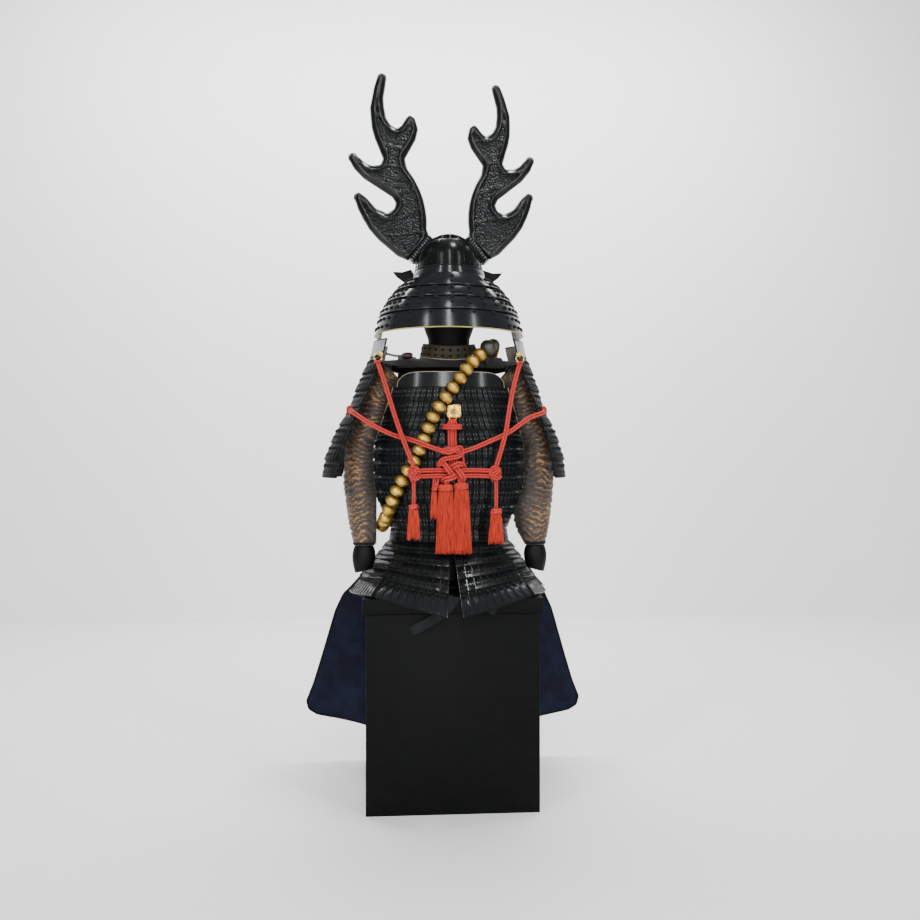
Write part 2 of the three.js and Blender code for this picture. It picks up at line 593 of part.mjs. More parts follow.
function addShoulders() {
  const yokePlace = (u, v) => {
    const power = mix(1, 2 / YOKE.squareness, v);
    const x = mix(YOKE.neckWide, YOKE.edgeWide, v) * bulge(Math.sin(u), power);
    const y = -mix(YOKE.neckDeep, YOKE.edgeDeep, v) * bulge(Math.cos(u), power);
    return vec(x, y, shoulderHeight(x, y));
  };
  addPiece('shoulder_yoke', wall({
    place: yokePlace, across: spread(0, 2 * Math.PI, 24).slice(0, -1), down: [0, 0.5, 1],
    thick: CLOTH_WALL, round: true, side: -1,
  }), BLACK_CLOTH);
  const rise = CLOTH_WALL + SEAM + 0.2;
  const strapRoute = [
    { y: -123.4, z: 1078 }, { y: -121.6, z: 1096 }, { y: -116, z: 1113.5 }, { y: -104, z: 1122.5 },
    { y: -80, z: 1133.5 }, { y: -40, z: 1145.2 }, { y: 0, z: 1149.6 }, { y: 40, z: 1145.2 },
    { y: 80, z: 1133.5 }, { y: 104, z: 1122.5 }, { y: 117, z: 1115.5 }, { y: 122, z: 1098 },
    { y: 125, z: 1072 },
    { y: 126, z: 1046 },
  ];
  const strapPlace = (side) => (u, v) => {
    const row = tableAlong(strapRoute, v);
    return vec(side * STRAP.x + u * STRAP.halfWidth, row.y, row.z - 2.6 + rise - 0.3);
  };
  for (const [name, side] of [['shoulder_strap_left', -1], ['shoulder_strap_right', 1]]) {
    addPiece(name, wall({
      place: strapPlace(side), across: [-1, 0, 1], down: spread(0, 1, strapRoute.length - 1),
      thick: STRAP.wall, side: 1,
    }), LACED);
  }
  const collarPlace = (u, v) => {
    const x = COLLAR.halfWide * Math.sin(u);
    const y = -COLLAR.halfDeep * Math.cos(u);
    const lean = mix(0.95, 1.05, v);
    const low = shoulderHeight(x * 1.05, y * 1.05) + CLOTH_WALL + 2 * SEAM;
    return vec(x * lean, y * lean, mix(low + COLLAR.height, low, v));
  };
  const open = radians(180 - COLLAR.openHalfAngle);
  addPiece('collar', wall({
    place: collarPlace, across: spread(-open, open, 16), down: [0, 0.5, 1],
    thick: COLLAR.wall, side: -1,
  }), COLLAR_CLOTH);
}

function addSkirt() {
  for (const panel of SKIRT_PANELS) {
    const place = (u, v) => {
      const top = torsoPoint(radians(mix(panel.from, panel.to, u)), SKIRT_TOP);
      const hem = vec(...panel.hemFrom).lerp(vec(...panel.hemTo), u);
      const out = outFromMiddle(hem);
      hem.addScaledVector(out, panel.bow * Math.sin(Math.PI * THREE.MathUtils.clamp(u, 0, 1)));
      return top.lerp(hem, v);
    };
    const geometry = wall({
      place, across: spread(0, 1, 7), down: rowStops(SKIRT_ROWS), innerDown: [0, 1], thick: LAME_WALL,
      relief: rowLip(SKIRT_ROWS, 3), side: -1,
    });
    if (panel.mirrored) {
      addPiece(`${panel.name}_right`, geometry, LACED);
      addPiece(`${panel.name}_left`, mirrored(geometry), LACED);
    } else {
      addPiece(panel.name, geometry, LACED);
    }
  }
}

// Half ellipse profile of the bowl, from the top of the dome to its rim.
function bowlProfile(shrink) {
  return spread(0, Math.PI / 2, 5).map((angle) => [
    (BOWL.halfWide - shrink) * Math.sin(angle),
    BOWL.base + (BOWL.height - shrink) * Math.cos(angle),
  ]);
}

function addHelmet() {
  const deepening = BOWL.halfDeep / BOWL.halfWide;
  const shell = [...bowlProfile(0), ...bowlProfile(BOWL.wall).reverse()];
  addPiece('helmet_bowl', turned(shell, 24, deepening), LACQUER);

  const bandPlace = (size) => (u, v) => {
    const wide = mix(size.topWide, size.lowWide, v);
    const deep = mix(size.topDeep, size.lowDeep, v);
    return vec(wide * Math.sin(u), -deep * Math.cos(u), mix(size.top, size.bottom, v));
  };
  addPiece('helmet_band', wall({
    place: bandPlace(HELMET_BAND), across: spread(0, 2 * Math.PI, 24).slice(0, -1), down: [0, 1],
    thick: LAME_WALL, round: true, side: -1,
  }), LACQUER);
  const half = radians(NECK_GUARD_HALF_ANGLE);
  for (const lame of NECK_GUARD) {
    addPiece(lame.name, wall({
      place: bandPlace(lame), across: spread(-half, half, 16), down: [0, 0.9, 1], innerDown: [0, 1],
      thick: 2, relief: (u, v) => (v > 0.95 ? 1.2 : 0), side: -1,
    }), LACQUER);
  }
  const peakHalf = radians(PEAK.halfAngle);
  const peakPlace = (u, v) => {
    const reach = PEAK.reach * v * Math.cos((u / peakHalf) * Math.PI * 0.42);
    const wide = HELMET_BAND.topWide + PEAK.clearance + reach;
    const deep = HELMET_BAND.topDeep + PEAK.clearance + reach;
    return vec(wide * Math.sin(u), deep * Math.cos(u), 1374 - PEAK.drop * v);
  };
  addPiece('helmet_peak', wall({
    place: peakPlace, across: spread(-peakHalf, peakHalf, 12), down: [0, 1], thick: LAME_WALL, side: 1,
  }), LACQUER);
  const horn = plate(TURNBACK_OUTLINE, TURNBACK.y, TURNBACK.wall);
  addPiece('turnback_left', horn, LACQUER);
  addPiece('turnback_right', mirrored(horn), LACQUER);
}

function addAntlers() {
  const slope = radians(ANTLER_SLOPE);
  const along = vec(Math.cos(slope), 0, Math.sin(slope));
  const outward = vec(-Math.sin(slope), 0, Math.cos(slope));
  const root = vec(ANTLER_ROOT.x, ANTLER_ROOT.y, ANTLER_ROOT.z);
  const stops = 2 * ANTLER_COLLAR.ribs;
  const rings = spread(-0.5, 0.5, stops).map((share, i) => {
    const size = i % 2 ? 1 : ANTLER_COLLAR.groove;
    return roundSection(1, 8).map(([a, b]) => root.clone()
      .addScaledVector(along, share * ANTLER_COLLAR.length)
      .addScaledVector(outward, a * ANTLER_COLLAR.halfThick * size)
      .add(vec(0, b * ANTLER_COLLAR.halfDeep * size, 0)));
  });
  const clearOfBowl = turned([...bowlProfile(-SEAM), [0, BOWL.base]], 24, BOWL.halfDeep / BOWL.halfWide);
  const collar = geometryOf(solidOf(loft(rings)).subtract(solidOf(clearOfBowl)));
  addPiece('antler_collar_left', collar, ANTLER_FINISH);
  addPiece('antler_collar_right', mirrored(collar), ANTLER_FINISH);

  const antler = ({ size, lean }) => {
    const turn = radians(lean);
    const outline = ANTLER_OUTLINE.map(([x, z]) => [
      root.x + size * (x * Math.cos(turn) + z * Math.sin(turn)),
      root.z + size * (z * Math.cos(turn) - x * Math.sin(turn)),
    ]);
    return plate(outline, 0, ANTLER_BODY.core, { depth: ANTLER_BODY.edgeDepth, inset: ANTLER_BODY.edgeInset });
  };
  const clearOfCollar = loft(rings.map((ring) => {
    const middle = ring.reduce((sum, point) => sum.add(point), vec(0, 0, 0)).divideScalar(ring.length);
    return ring.map((point) => point.clone().sub(middle).multiplyScalar(1.04).add(middle));
  }));
  const fitted = (geometry) => geometryOf(solidOf(geometry).subtract(solidOf(clearOfCollar)));
  addPiece('antler_left', fitted(antler(LEFT_ANTLER)), ANTLER_FINISH);
  addPiece('antler_right', mirrored(fitted(antler(RIGHT_ANTLER))), ANTLER_FINISH);
}

// Ring that a shoulder cord is tied to, with the stud that holds it at the cap's rear corner.
function capRing({ x, y, z, studX, studY, studZ }) {
  const radius = GUARD_RING_RADIUS;
  const ring = sweep({
    route: [[x, y, z + radius], [x + radius, y, z], [x, y, z - radius], [x - radius, y, z]], steps: 10,
    section: roundSection(2, 6), away: () => vec(0, 1, 0), closed: true,
  });
  const stud = sweep({
    route: [[studX, studY, studZ], [x, y, z + radius]], steps: 1, section: roundSection(2.4, 6), away: behind,
  });
  return [ring, stud];
}

function addShoulderGuards() {
  for (const [name, side] of [['left', -1], ['right', 1]]) {
    const swing = -side * SODE_SWING;
    const guardPoint = (u, z, extra) => {
      const row = tableAt(SODE, 'z', z);
      const drop = (SODE[0].z - z) / (SODE[0].z - SODE[SODE.length - 1].z);
      const out = row.out - (row.out - row.rear) * u * u + swing * drop * 0.8 + extra;
      return vec(side * out, SODE_MIDDLE + u * row.halfLength, z);
    };
    const low = SODE[SODE.length - 1].z;
    addPiece(`shoulder_guard_${name}`, wall({
      place: (u, v) => guardPoint(u, mix(SODE[0].z, low, v), 0),
      across: spread(-1, 1, 6), down: rowStops(SODE_ROWS), innerDown: spread(0, 1, SODE_ROWS), thick: LAME_WALL,
      relief: rowLip(SODE_ROWS, 3.4), side: -side,
    }), LACED);
    const capPlace = (u, v) => {
      const point = guardPoint(u, SODE[0].z, 0);
      return vec(point.x - side * SODE_CAP.leanIn * (1 - v), point.y, mix(SODE_CAP.top, SODE_CAP.bottom, v));
    };
    const cap = wall({
      place: capPlace, across: spread(-0.98, 0.98, 8), down: [0, 1], thick: SODE_CAP.wall, side: -side,
    });
    const ring = capRing(GUARD_RINGS[name]);
    addPiece(`guard_cap_${name}`, joined([cap, ...ring]), LACQUER);
  }
}

function addSleeves() {
  const turn = spread(0, 2 * Math.PI, SLEEVE_SIDES).slice(0, -1);
  const sleevePlace = (u, v) => {
    const row = tableAlong(SLEEVE, v);
    const tilt = radians(row.tilt);
    const wide = row.wide * Math.cos(u);
    return vec(-row.x - wide * Math.cos(tilt), row.y + row.deep * Math.sin(u), row.z + wide * Math.sin(tilt));
  };
  const gather = (u, v) => {
    const inGather = (v * SLEEVE_GATHERS) % 1;
    return Math.abs(inGather - 0.5) < 0.25 ? GATHER_DEPTH * (1 + 0.25 * Math.sin(3 * u + 9 * v)) : 0;
  };
  const sleeve = wall({
    place: sleevePlace, across: turn, down: spread(0, 1, 2 * SLEEVE_GATHERS),
    innerDown: spread(0, 1, SLEEVE.length - 1), thick: CLOTH_WALL, relief: gather, round: true, side: 1,
  });
  addPiece('sleeve_left', sleeve, BROCADE);
  addPiece('sleeve_right', mirrored(sleeve), BROCADE);
  const guardPlace = (u, v) => vec(
    -HAND_GUARD.x - HAND_GUARD.wide * Math.cos(u) * (1 - 0.12 * v),
    HAND_GUARD.y + HAND_GUARD.deep * Math.sin(u) * (1 - 0.12 * v),
    mix(HAND_GUARD.top, HAND_GUARD.bottom, v),
  );
  const guard = wall({
    place: guardPlace, across: spread(radians(HAND_GUARD.from), radians(HAND_GUARD.to), 9), down: [0, 0.5, 1],
    thick: LAME_WALL, side: 1,
  });
  addPiece('hand_guard_left', guard, LACQUER);
  addPiece('hand_guard_right', mirrored(guard), LACQUER);
}

function addApron() {
  const apronPlace = (u, v) => {
    const row = tableAlong(APRON, v);
    const x = mix(APRON_INNER, row.outer, u);
    const fall = THREE.MathUtils.clamp((540 - row.z) / 400, 0, 1);
    const fold = APRON_FOLD_DEPTH * fall * (1 - Math.cos(u * APRON_FOLDS * 2 * Math.PI));
    const hem = APRON_HEM_SLOPE * Math.max(0, 400 - x) * fall ** 2;
    return vec(x, row.y + fold - row.curl * (x / 100) ** 2, row.z - hem);
  };
  const panel = wall({
    place: apronPlace, across: spread(0, 1, 8), down: spread(0, 1, APRON.length - 1),
    thick: CLOTH_WALL, side: 1,
  });
  addPiece('thigh_apron_right', panel, NAVY_CLOTH);
  addPiece('thigh_apron_left', mirrored(panel), NAVY_CLOTH);
  const beltHalf = radians(APRON_BELT.halfAngle);
  addPiece('apron_belt', wall({
    place: (u, v) => vec(
      APRON_BELT.halfWidth * Math.sin(u), APRON_BELT.halfDepth * Math.cos(u),
      mix(APRON_BELT.top, APRON_BELT.bottom, v),
    ),
    across: spread(-beltHalf, beltHalf, 10), down: [0, 1], thick: CLOTH_WALL, side: 1,
  }), BLACK_CLOTH);
}

function addBeads() {
  const loop = new THREE.CatmullRomCurve3(BEAD_LOOP.map((point) => vec(...point)), true, 'centripetal');
  const beads = Math.round(loop.getLength() / BEAD.pitch);
  const profile = [BEAD.neck, 0.9 * BEAD.radius, 0.9 * BEAD.radius];
  addPiece('bead_string', sweep({
    route: BEAD_LOOP, steps: 3 * beads, section: roundSection(1, 6), away: outFromMiddle, closed: true,
    size: (i) => profile[i % 3],
  }), GILT_WOOD);
}

// Great knot with its stem, side loops and end knots, all one tied cord.
function addKnot() {
  const y = KNOT_Y;
  const strand = (route, steps, closed = false) => sweep({
    route, steps, section: roundSection(LOOP_CORD, LOOP_SIDES), away: behind, closed,
  });
  const pieces = [
    strand([[-5, -145, STEM.top], [-5, -149, STEM.bottom]], 1),
    strand([[5, -145, STEM.top], [5, -149, STEM.bottom]], 1),
    sweep({
      route: [[-21, -149, 964], [0, -158, 963], [21, -149, 964], [0, -146, 966]], steps: 10,
      section: roundSection(6.5, 5), away: () => vec(0, 0, 1), closed: true,
    }),
    strand([[-18, y, 884], [10, y - 5, 876], [20, y - 2, 860], [6, y - 4, 846]], 5),
    strand([[19, y, 884], [-6, y - 3, 870], [-20, y - 4, 856], [-12, y - 5, 838]], 5),
    strand([[-21, y, 846], [0, y - 5, 834], [22, y, 844]], 4),
    strand([[-13, y, 838], [-15, y - 5, 815]], 1),
    strand([[17, y, 838], [22, y - 5, 815]], 1),
    strand([[0, y + 3, 893], [0, y + 1, 830]], 1),
  ];
  const [left, right] = LOOP_ENDS;
  for (const level of LOOP_LEVELS) {
    pieces.push(strand([
      [left.x, left.y, level], [-50, y - 8, level + 3], [0, y, level + 1], [60, y + 3, level],
      [right.x, right.y, level],
    ], 6));
  }
  for (const end of LOOP_ENDS) {
    pieces.push(strand([
      [end.x - 10, end.y, 845], [end.x, end.y - 3, 859], [end.x + 9, end.y, 845], [end.x, end.y - 2, 831],
    ], 8, true));
  }
  addPiece('great_knot', joined(pieces), RED_BRAID);
}

function addCords() {
  const pair = pairSection(BRAID);
  addPiece('upper_cord_left', sweep({ route: UPPER_CORD_LEFT, steps: 8, section: pair, away: behind }), RED_BRAID);
  addPiece('upper_cord_right', sweep({ route: UPPER_CORD_RIGHT, steps: 8, section: pair, away: behind }), RED_BRAID);
  addPiece('middle_cord', sweep({ route: MIDDLE_CORD, steps: 18, section: pair, away: behind }), RED_BRAID);
  const half = RING_PLATE.width / 2;
  const tall = RING_PLATE.height / 2;
  const outline = [
    [-half, -tall + 5], [-half + 5, -tall], [half - 5, -tall], [half, -tall + 5],
    [half, tall - 5], [half - 5, tall], [-half + 5, tall], [-half, tall - 5],
  ].map(([x, z]) => [x + RING_PLATE.x, z + RING_PLATE.z]);
  const ring = sweep({
    route: [[-7, -143, 982], [2, -141, 989], [11, -143, 982], [2, -146, 972.9]],
    steps: 10, section: roundSection(1.8, 6), away: () => vec(0, 1, 0), closed: true,
  });
  addPiece('ring_plate', joined([plate(outline, RING_PLATE.y, RING_PLATE.wall), ring]), GILT_METAL);
}

// One tassel: a head over strands that hang apart and are fused into it at the root.
function tasselParts({ middle, y, top, length, width, depth, across, deep }) {
  const headHeight = Math.min(20, length * 0.2);
  const rootZ = top - headHeight;
  const oval = (scale, z) => roundSection(1, 8).map(([a, b]) => (
    vec(middle + a * scale * width / 2, y + b * scale * depth / 2, z)
  ));
  const parts = [loft([oval(0.35, top), oval(0.8, top - headHeight * 0.4), oval(0.84, rootZ)])];
  for (let i = 0; i < across; i += 1) {
    for (let j = 0; j < deep; j += 1) {
      const shareX = (i + 0.5 + 0.25 * ((j % 2) - 0.5)) / across - 0.5;
      const shareY = deep > 1 ? j / (deep - 1) - 0.5 : 0;
      const inOval = Math.sqrt(1 - (1.7 * shareX) ** 2);
      const [outX, outY] = [shareX * width, shareY * (depth - 4) * inOval];
      const foot = vec(middle + outX, y + outY, top - length + 2.5 * ((i * 2 + j) % 3));
      const root = vec(middle + 0.66 * outX, y + 0.62 * outY, rootZ + 3);
      const ring = (at, size) => roundSection(size, 3).map(([a, b]) => vec(at.x + a, at.y + b, at.z));
      parts.push(loft([ring(root, STRAND * 0.6), ring(foot, STRAND)]));
    }
  }
  return parts;
}

function addTassels() {
  for (const tassel of TASSELS) {
    const [x, y, z] = tassel.hangs;
    const top = z - tassel.drop;
    const cord = sweep({
      route: [[x, y, z - 0.5], [x, y, top - 4]], steps: 1, section: pairSection(BRAID * 0.85), away: behind,
    });
    const parts = tasselParts({ middle: x, y, top, ...tassel });
    addPiece(tassel.name, joined([cord, ...parts]), RED_BRAID);
  }
  const pair = GREAT_TASSELS;
  const parts = pair.middles.flatMap((middle) => tasselParts({ ...pair, middle }));
  const bridge = block(24, 10, 8, (pair.middles[0] + pair.middles[1]) / 2, pair.y, pair.top - 16);
  addPiece(pair.name, joined([bridge, ...parts]), RED_BRAID);
}

function addFastenings() {
  const toggle = sweep({
    route: [TOGGLE.from, TOGGLE.to], steps: 4, section: roundSection(1, 8), away: behind,
    size: (i) => TOGGLE.radius * [0.5, 0.9, 1, 0.9, 0.5][i],
  });
  const cord = sweep({ route: TOGGLE_CORD, steps: 5, section: pairSection(1.6), away: behind });
  addPiece('shoulder_toggle', joined([toggle, cord]), TOGGLE_FINISH);
  const tapeSection = [
    [-TAPE.width / 2, -TAPE.wall / 2], [TAPE.width / 2, -TAPE.wall / 2],
    [TAPE.width / 2, TAPE.wall / 2], [-TAPE.width / 2, TAPE.wall / 2],
  ];
  const tapeAway = (point) => {
    const over = THREE.MathUtils.clamp((-LID.depth / 2 - point.y) / 8, 0, 1);
    return vec(0, -over, 1 - over);
  };
  addPiece('tape_long', sweep({ route: TAPE_LONG, steps: 12, section: tapeSection, away: tapeAway }), BLACK_CLOTH);
  addPiece('tape_short', sweep({ route: TAPE_SHORT, steps: 9, section: tapeSection, away: tapeAway }), BLACK_CLOTH);
}

addBox();
addStand();
addBodyArmour();
addShoulders();
addSkirt();
addHelmet();
addAntlers();
addShoulderGuards();
addSleeves();
addApron();
addBeads();
addKnot();
addCords();
addTassels();
addFastenings();

export default armour;
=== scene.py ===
"""Looks of the samurai armour on its display box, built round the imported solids.

Sizes below are in millimetres and are turned to metres where a mesh is made.
The armour faces +Y, so the camera sees its back. +X is to the right of the picture.
"""

import math
import random

import bmesh
import bpy
import numpy as np
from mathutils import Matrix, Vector, noise


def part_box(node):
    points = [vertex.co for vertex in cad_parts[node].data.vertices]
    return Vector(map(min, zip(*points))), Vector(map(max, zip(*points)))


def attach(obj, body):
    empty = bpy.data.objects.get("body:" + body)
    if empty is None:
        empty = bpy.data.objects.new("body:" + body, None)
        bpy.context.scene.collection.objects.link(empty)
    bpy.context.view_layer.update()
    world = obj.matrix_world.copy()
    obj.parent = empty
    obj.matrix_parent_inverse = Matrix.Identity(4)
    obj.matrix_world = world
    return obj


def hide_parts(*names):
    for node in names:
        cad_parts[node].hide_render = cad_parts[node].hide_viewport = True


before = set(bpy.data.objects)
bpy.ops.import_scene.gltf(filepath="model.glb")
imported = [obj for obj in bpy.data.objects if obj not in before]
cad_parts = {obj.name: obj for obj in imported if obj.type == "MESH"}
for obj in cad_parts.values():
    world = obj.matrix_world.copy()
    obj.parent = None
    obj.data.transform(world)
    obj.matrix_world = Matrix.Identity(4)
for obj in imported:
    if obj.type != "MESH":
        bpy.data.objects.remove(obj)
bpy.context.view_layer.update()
random.seed(7)

MM = 0.001
SIDES = (("left", -1), ("right", 1))  # Side of the picture and the sign of its x.
MIRRORED = (("left", 1), ("right", -1))  # For forms that are drawn on the left side.
scene = bpy.context.scene


# Camera: level, a little left of the middle, as in the photograph.
CAMERA_PLACE = (-0.143, -2.476, 0.877)
CAMERA_LOOK = (0.0698, 0.9976, 0.0)
CAMERA_LENS = 36.1

camera_data = bpy.data.cameras.new("camera")
camera_data.lens = CAMERA_LENS
camera_data.sensor_width = 36
camera_data.clip_end = 60
camera = bpy.data.objects.new("camera", camera_data)
scene.collection.objects.link(camera)
camera.location = CAMERA_PLACE
camera.rotation_euler = Vector(CAMERA_LOOK).to_track_quat("-Z", "Y").to_euler()
scene.camera = camera


# Vector and table helpers.
def point(x, y, z):
    return np.array((x, y, z), float)


def unit(vector):
    return vector / (np.linalg.norm(vector) or 1.0)


def mix(low, high, share):
    return low + (high - low) * share


def bulge(value, power):
    return math.copysign(abs(value) ** power, value)


def spread(low, high, count):
    return [mix(low, high, i / count) for i in range(count + 1)]


def full_turn(count):
    """Angles of a full turn, with the first place again at the end."""
    return spread(0, 2 * math.pi, count)


def column(rows, key, place, along):
    """Value of one column of a table, at a place along another."""
    stops = [row[along] for row in rows]
    values = [row[key] for row in rows]
    if stops[0] > stops[-1]:
        stops, values = stops[::-1], values[::-1]
    return float(np.interp(place, stops, values))


def smooth_column(values, share):
    """Value of a list at a share of its length, by a smooth curve through its values."""
    place = min(max(share, 0.0), 1.0) * (len(values) - 1)
    first = min(int(place), len(values) - 2)
    t = place - first
    a = values[max(first - 1, 0)]
    b, c = values[first], values[first + 1]
    d = values[min(first + 2, len(values) - 1)]
    return b + 0.5 * t * (c - a + t * (2 * a - 5 * b + 4 * c - d + t * (3 * (b - c) + d - a)))


def spline(route, closed=False, per_span=16):
    """Smooth line through the points of a route."""
    route = np.array(route, float)
    count = len(route)
    if closed:
        padded = np.vstack([route[-1], route, route[0], route[1]])
        spans = count
    else:
        padded = np.vstack([2 * route[0] - route[1], route, 2 * route[-1] - route[-2]])
        spans = count - 1
    line = []
    for i in range(spans):
        a, b, c, d = padded[i : i + 4]
        knots = [0.0]
        for p, q in ((a, b), (b, c), (c, d)):
            knots.append(knots[-1] + max(np.linalg.norm(q - p), 1e-6) ** 0.5)
        for step in range(per_span):
            t = mix(knots[1], knots[2], step / per_span)
            ab = mix(a, b, (t - knots[0]) / (knots[1] - knots[0]))
            bc = mix(b, c, (t - knots[1]) / (knots[2] - knots[1]))
            cd = mix(c, d, (t - knots[2]) / (knots[3] - knots[2]))
            abc = mix(ab, bc, (t - knots[0]) / (knots[2] - knots[0]))
            bcd = mix(bc, cd, (t - knots[1]) / (knots[3] - knots[1]))
            line.append(mix(abc, bcd, (t - knots[1]) / (knots[2] - knots[1])))
    line.append(route[0] if closed else route[-1])
    return np.array(line)


def line_length(line):
    return float(np.linalg.norm(np.diff(line, axis=0), axis=1).sum())


def evenly(line, count):
    """The line again with count + 1 points at even steps along it."""
    steps = np.concatenate([[0], np.cumsum(np.linalg.norm(np.diff(line, axis=0), axis=1))])
    wanted = np.linspace(0, steps[-1], count + 1)
    return np.stack([np.interp(wanted, steps, line[:, axis]) for axis in range(3)], axis=1)


def tangents(line, closed=False):
    if closed:
        body = line[:-1]
        turned = np.roll(body, -1, 0) - np.roll(body, 1, 0)
        turned = np.vstack([turned, turned[:1]])
    else:
        turned = np.gradient(line, axis=0)
    return turned / np.maximum(np.linalg.norm(turned, axis=1, keepdims=True), 1e-9)


def side_step(line, away, distance, closed=False):
    """The line moved sideways, across its run and level with the face it lies on."""
    run = tangents(line, closed)
    facing = np.array([away(p) for p in line])
    across = np.cross(run, facing)
    across /= np.maximum(np.linalg.norm(across, axis=1, keepdims=True), 1e-9)
    return line + across * distance


def from_middle(p):
    return point(p[0], p[1], 0)


def to_back(_):
    return point(0, -1, 0)


def upward(_):
    return point(0, 0, 1)


def frame_at(place, u, v, away):
    """Point of a surface with its across, down and out directions."""
    small = 1e-3
    here = place(u, v)
    across = unit(place(u + small, v) - place(u - small, v))
    down = unit(place(u, v + small) - place(u, v - small))
    out = unit(np.cross(across, down))
    if out @ away(here) < 0:
        out = -out
    return here, across, down, out


def lifted(place, stops, away, lift):
    """Line through places on a surface, held off it by a lift."""
    line = []
    for u, v in stops:
        here, _, _, out = frame_at(place, u, v, away)
        line.append(here + out * lift)
    return np.array(line)


class Shape:
    """Points, faces and texture places of one piece, gathered part by part."""

    def __init__(self):
        self.points = []
        self.faces = []
        self.places = []

    def add(self, points, faces, places=None):
        start = len(self.points)
        self.points.extend(tuple(p) for p in points)
        for i, face in enumerate(faces):
            self.faces.append(tuple(corner + start for corner in face))
            self.places.append(places[i] if places else [(0.0, 0.0)] * len(face))

    def grid(self, rows, around=False, scale=(1.0, 1.0)):
        """A grid of points as four-sided faces, its texture place from 0 to scale each way."""
        high, wide = len(rows), len(rows[0])
        spans = wide if around else wide - 1
        faces, places = [], []
        for i in range(high - 1):
            for j in range(spans):
                k = (j + 1) % wide
                faces.append((i * wide + j, (i + 1) * wide + j, (i + 1) * wide + k, i * wide + k))
                u0, u1 = scale[0] * j / spans, scale[0] * (j + 1) / spans
                v0, v1 = scale[1] * i / (high - 1), scale[1] * (i + 1) / (high - 1)
                places.append([(u0, v0), (u0, v1), (u1, v1), (u1, v0)])
        self.add([p for row in rows for p in row], faces, places)

    def shell(self, place, us, vs, thick, away, relief=None, around=False, scale=(1.0, 1.0)):
        """A wall on a surface: inside on it, outside raised by its thickness and relief."""
        outer, inner = [], []
        for v in vs:
            outer_row, inner_row = [], []
            for u in us:
                here, _, _, out = frame_at(place, u, v, away)
                rise = relief(u, v) if relief else 0.0
                outer_row.append(here + out * (thick + rise))
                inner_row.append(here + out * min(rise, 0.0))
            outer.append(outer_row)
            inner.append(inner_row)
        self.closed_wall(outer, inner, around, scale)

    def closed_wall(self, outer, inner, around=False, scale=(1.0, 1.0)):
        high, wide = len(outer), len(outer[0])
        start = len(self.points)
        self.grid(outer, around, scale)
        self.grid([row[::-1] for row in inner] if not around else inner, around, scale)
        half = high * wide
        spans = wide if around else wide - 1
        inner_at = lambda i, j: start + half + i * wide + (j if around else wide - 1 - j)
        edge = []
        for j in range(spans):
            k = (j + 1) % wide
            for i in (0, high - 1):
                edge.append((start + i * wide + j, start + i * wide + k, inner_at(i, k), inner_at(i, j)))
        if not around:
            for i in range(high - 1):
                for j in (0, wide - 1):
                    near, far = start + i * wide + j, start + (i + 1) * wide + j
                    edge.append((near, far, inner_at(i + 1, j), inner_at(i, j)))
        self.faces.extend(edge)
        self.places.extend([[(0.0, 0.0)] * 4 for _ in edge])

    def tube(self, line, radius, sides=8, away=to_back, closed=False, flat=1.0):
        """A round cord along a line. Its texture place is the length run and the share round it."""
        run = tangents(line, closed)
        count = len(line) - 1 if closed else len(line)
        rings = []
        for i in range(count):
            across = unit(np.cross(run[i], away(line[i])))
            out = unit(np.cross(across, run[i]))
            size = radius[i] if hasattr(radius, "__len__") else radius
            rings.append([
                line[i]
                + across * size * math.cos(2 * math.pi * s / sides)
                + out * size * flat * math.sin(2 * math.pi * s / sides)
                for s in range(sides)
            ])
        if closed:
            start = len(self.points)
            self.grid(rings, True, (1.0, line_length(line)))
            last = start + (count - 1) * sides
            joint = [
                (last + s, start + s, start + (s + 1) % sides, last + (s + 1) % sides) for s in range(sides)
            ]
            self.faces.extend(joint)
            self.places.extend([[(0.0, 0.0)] * 4 for _ in joint])
            return
        start = len(self.points)
        self.grid(rings, True, (1.0, line_length(line)))
        last = start + (count - 1) * sides
        self.faces.append(tuple(start + s for s in range(sides)))
        self.faces.append(tuple(last + s for s in reversed(range(sides))))
        self.places.extend([[(0.0, 0.0)] * sides] * 2)

    def stamp(self, part, here, across, down, out, size=(1.0, 1.0, 1.0), lift=0.0):
        """A copy of a small part, laid on a surface by its directions."""
        points, faces = part
        base = here + out * lift
        scaled = points * np.array(size)
        placed = base + scaled[:, :1] * across + scaled[:, 1:2] * down + scaled[:, 2:] * out
        self.add(placed, faces)

    def press(self, part, place, u, v, away, size, lift):
        """A copy of a small part at a place of a surface."""
        self.stamp(part, *frame_at(place, u, v, away), size, lift)

    def close_ends(self, count):
        """Faces over the first and the last ring of a shape of rings."""
        self.faces += [tuple(range(count)), tuple(range(len(self.points) - count, len(self.points)))]
        self.places += [[(0.0, 0.0)] * count] * 2


def ball(segments, rings):
    """Unit sphere as points and faces, its poles along the third direction."""
    points = [(0.0, 0.0, 1.0)]
    for ring in range(1, rings):
        polar = math.pi * ring / rings
        for s in range(segments):
            turn = 2 * math.pi * s / segments
            wide = math.sin(polar)
            points.append((wide * math.cos(turn), wide * math.sin(turn), math.cos(polar)))
    points.append((0.0, 0.0, -1.0))
    faces = [(0, 1 + s, 1 + (s + 1) % segments) for s in range(segments)]
    for ring in range(rings - 2):
        low, high = 1 + ring * segments, 1 + (ring + 1) * segments
        faces += [
            (low + s, high + s, high + (s + 1) % segments, low + (s + 1) % segments) for s in range(segments)
        ]
    last, low = len(points) - 1, 1 + (rings - 2) * segments
    faces += [(low + s, last, low + (s + 1) % segments) for s in range(segments)]
    return np.array(points), faces


KNOT = ball(6, 4)
ROUND = ball(24, 16)
SMALL_ROUND = ball(12, 8)


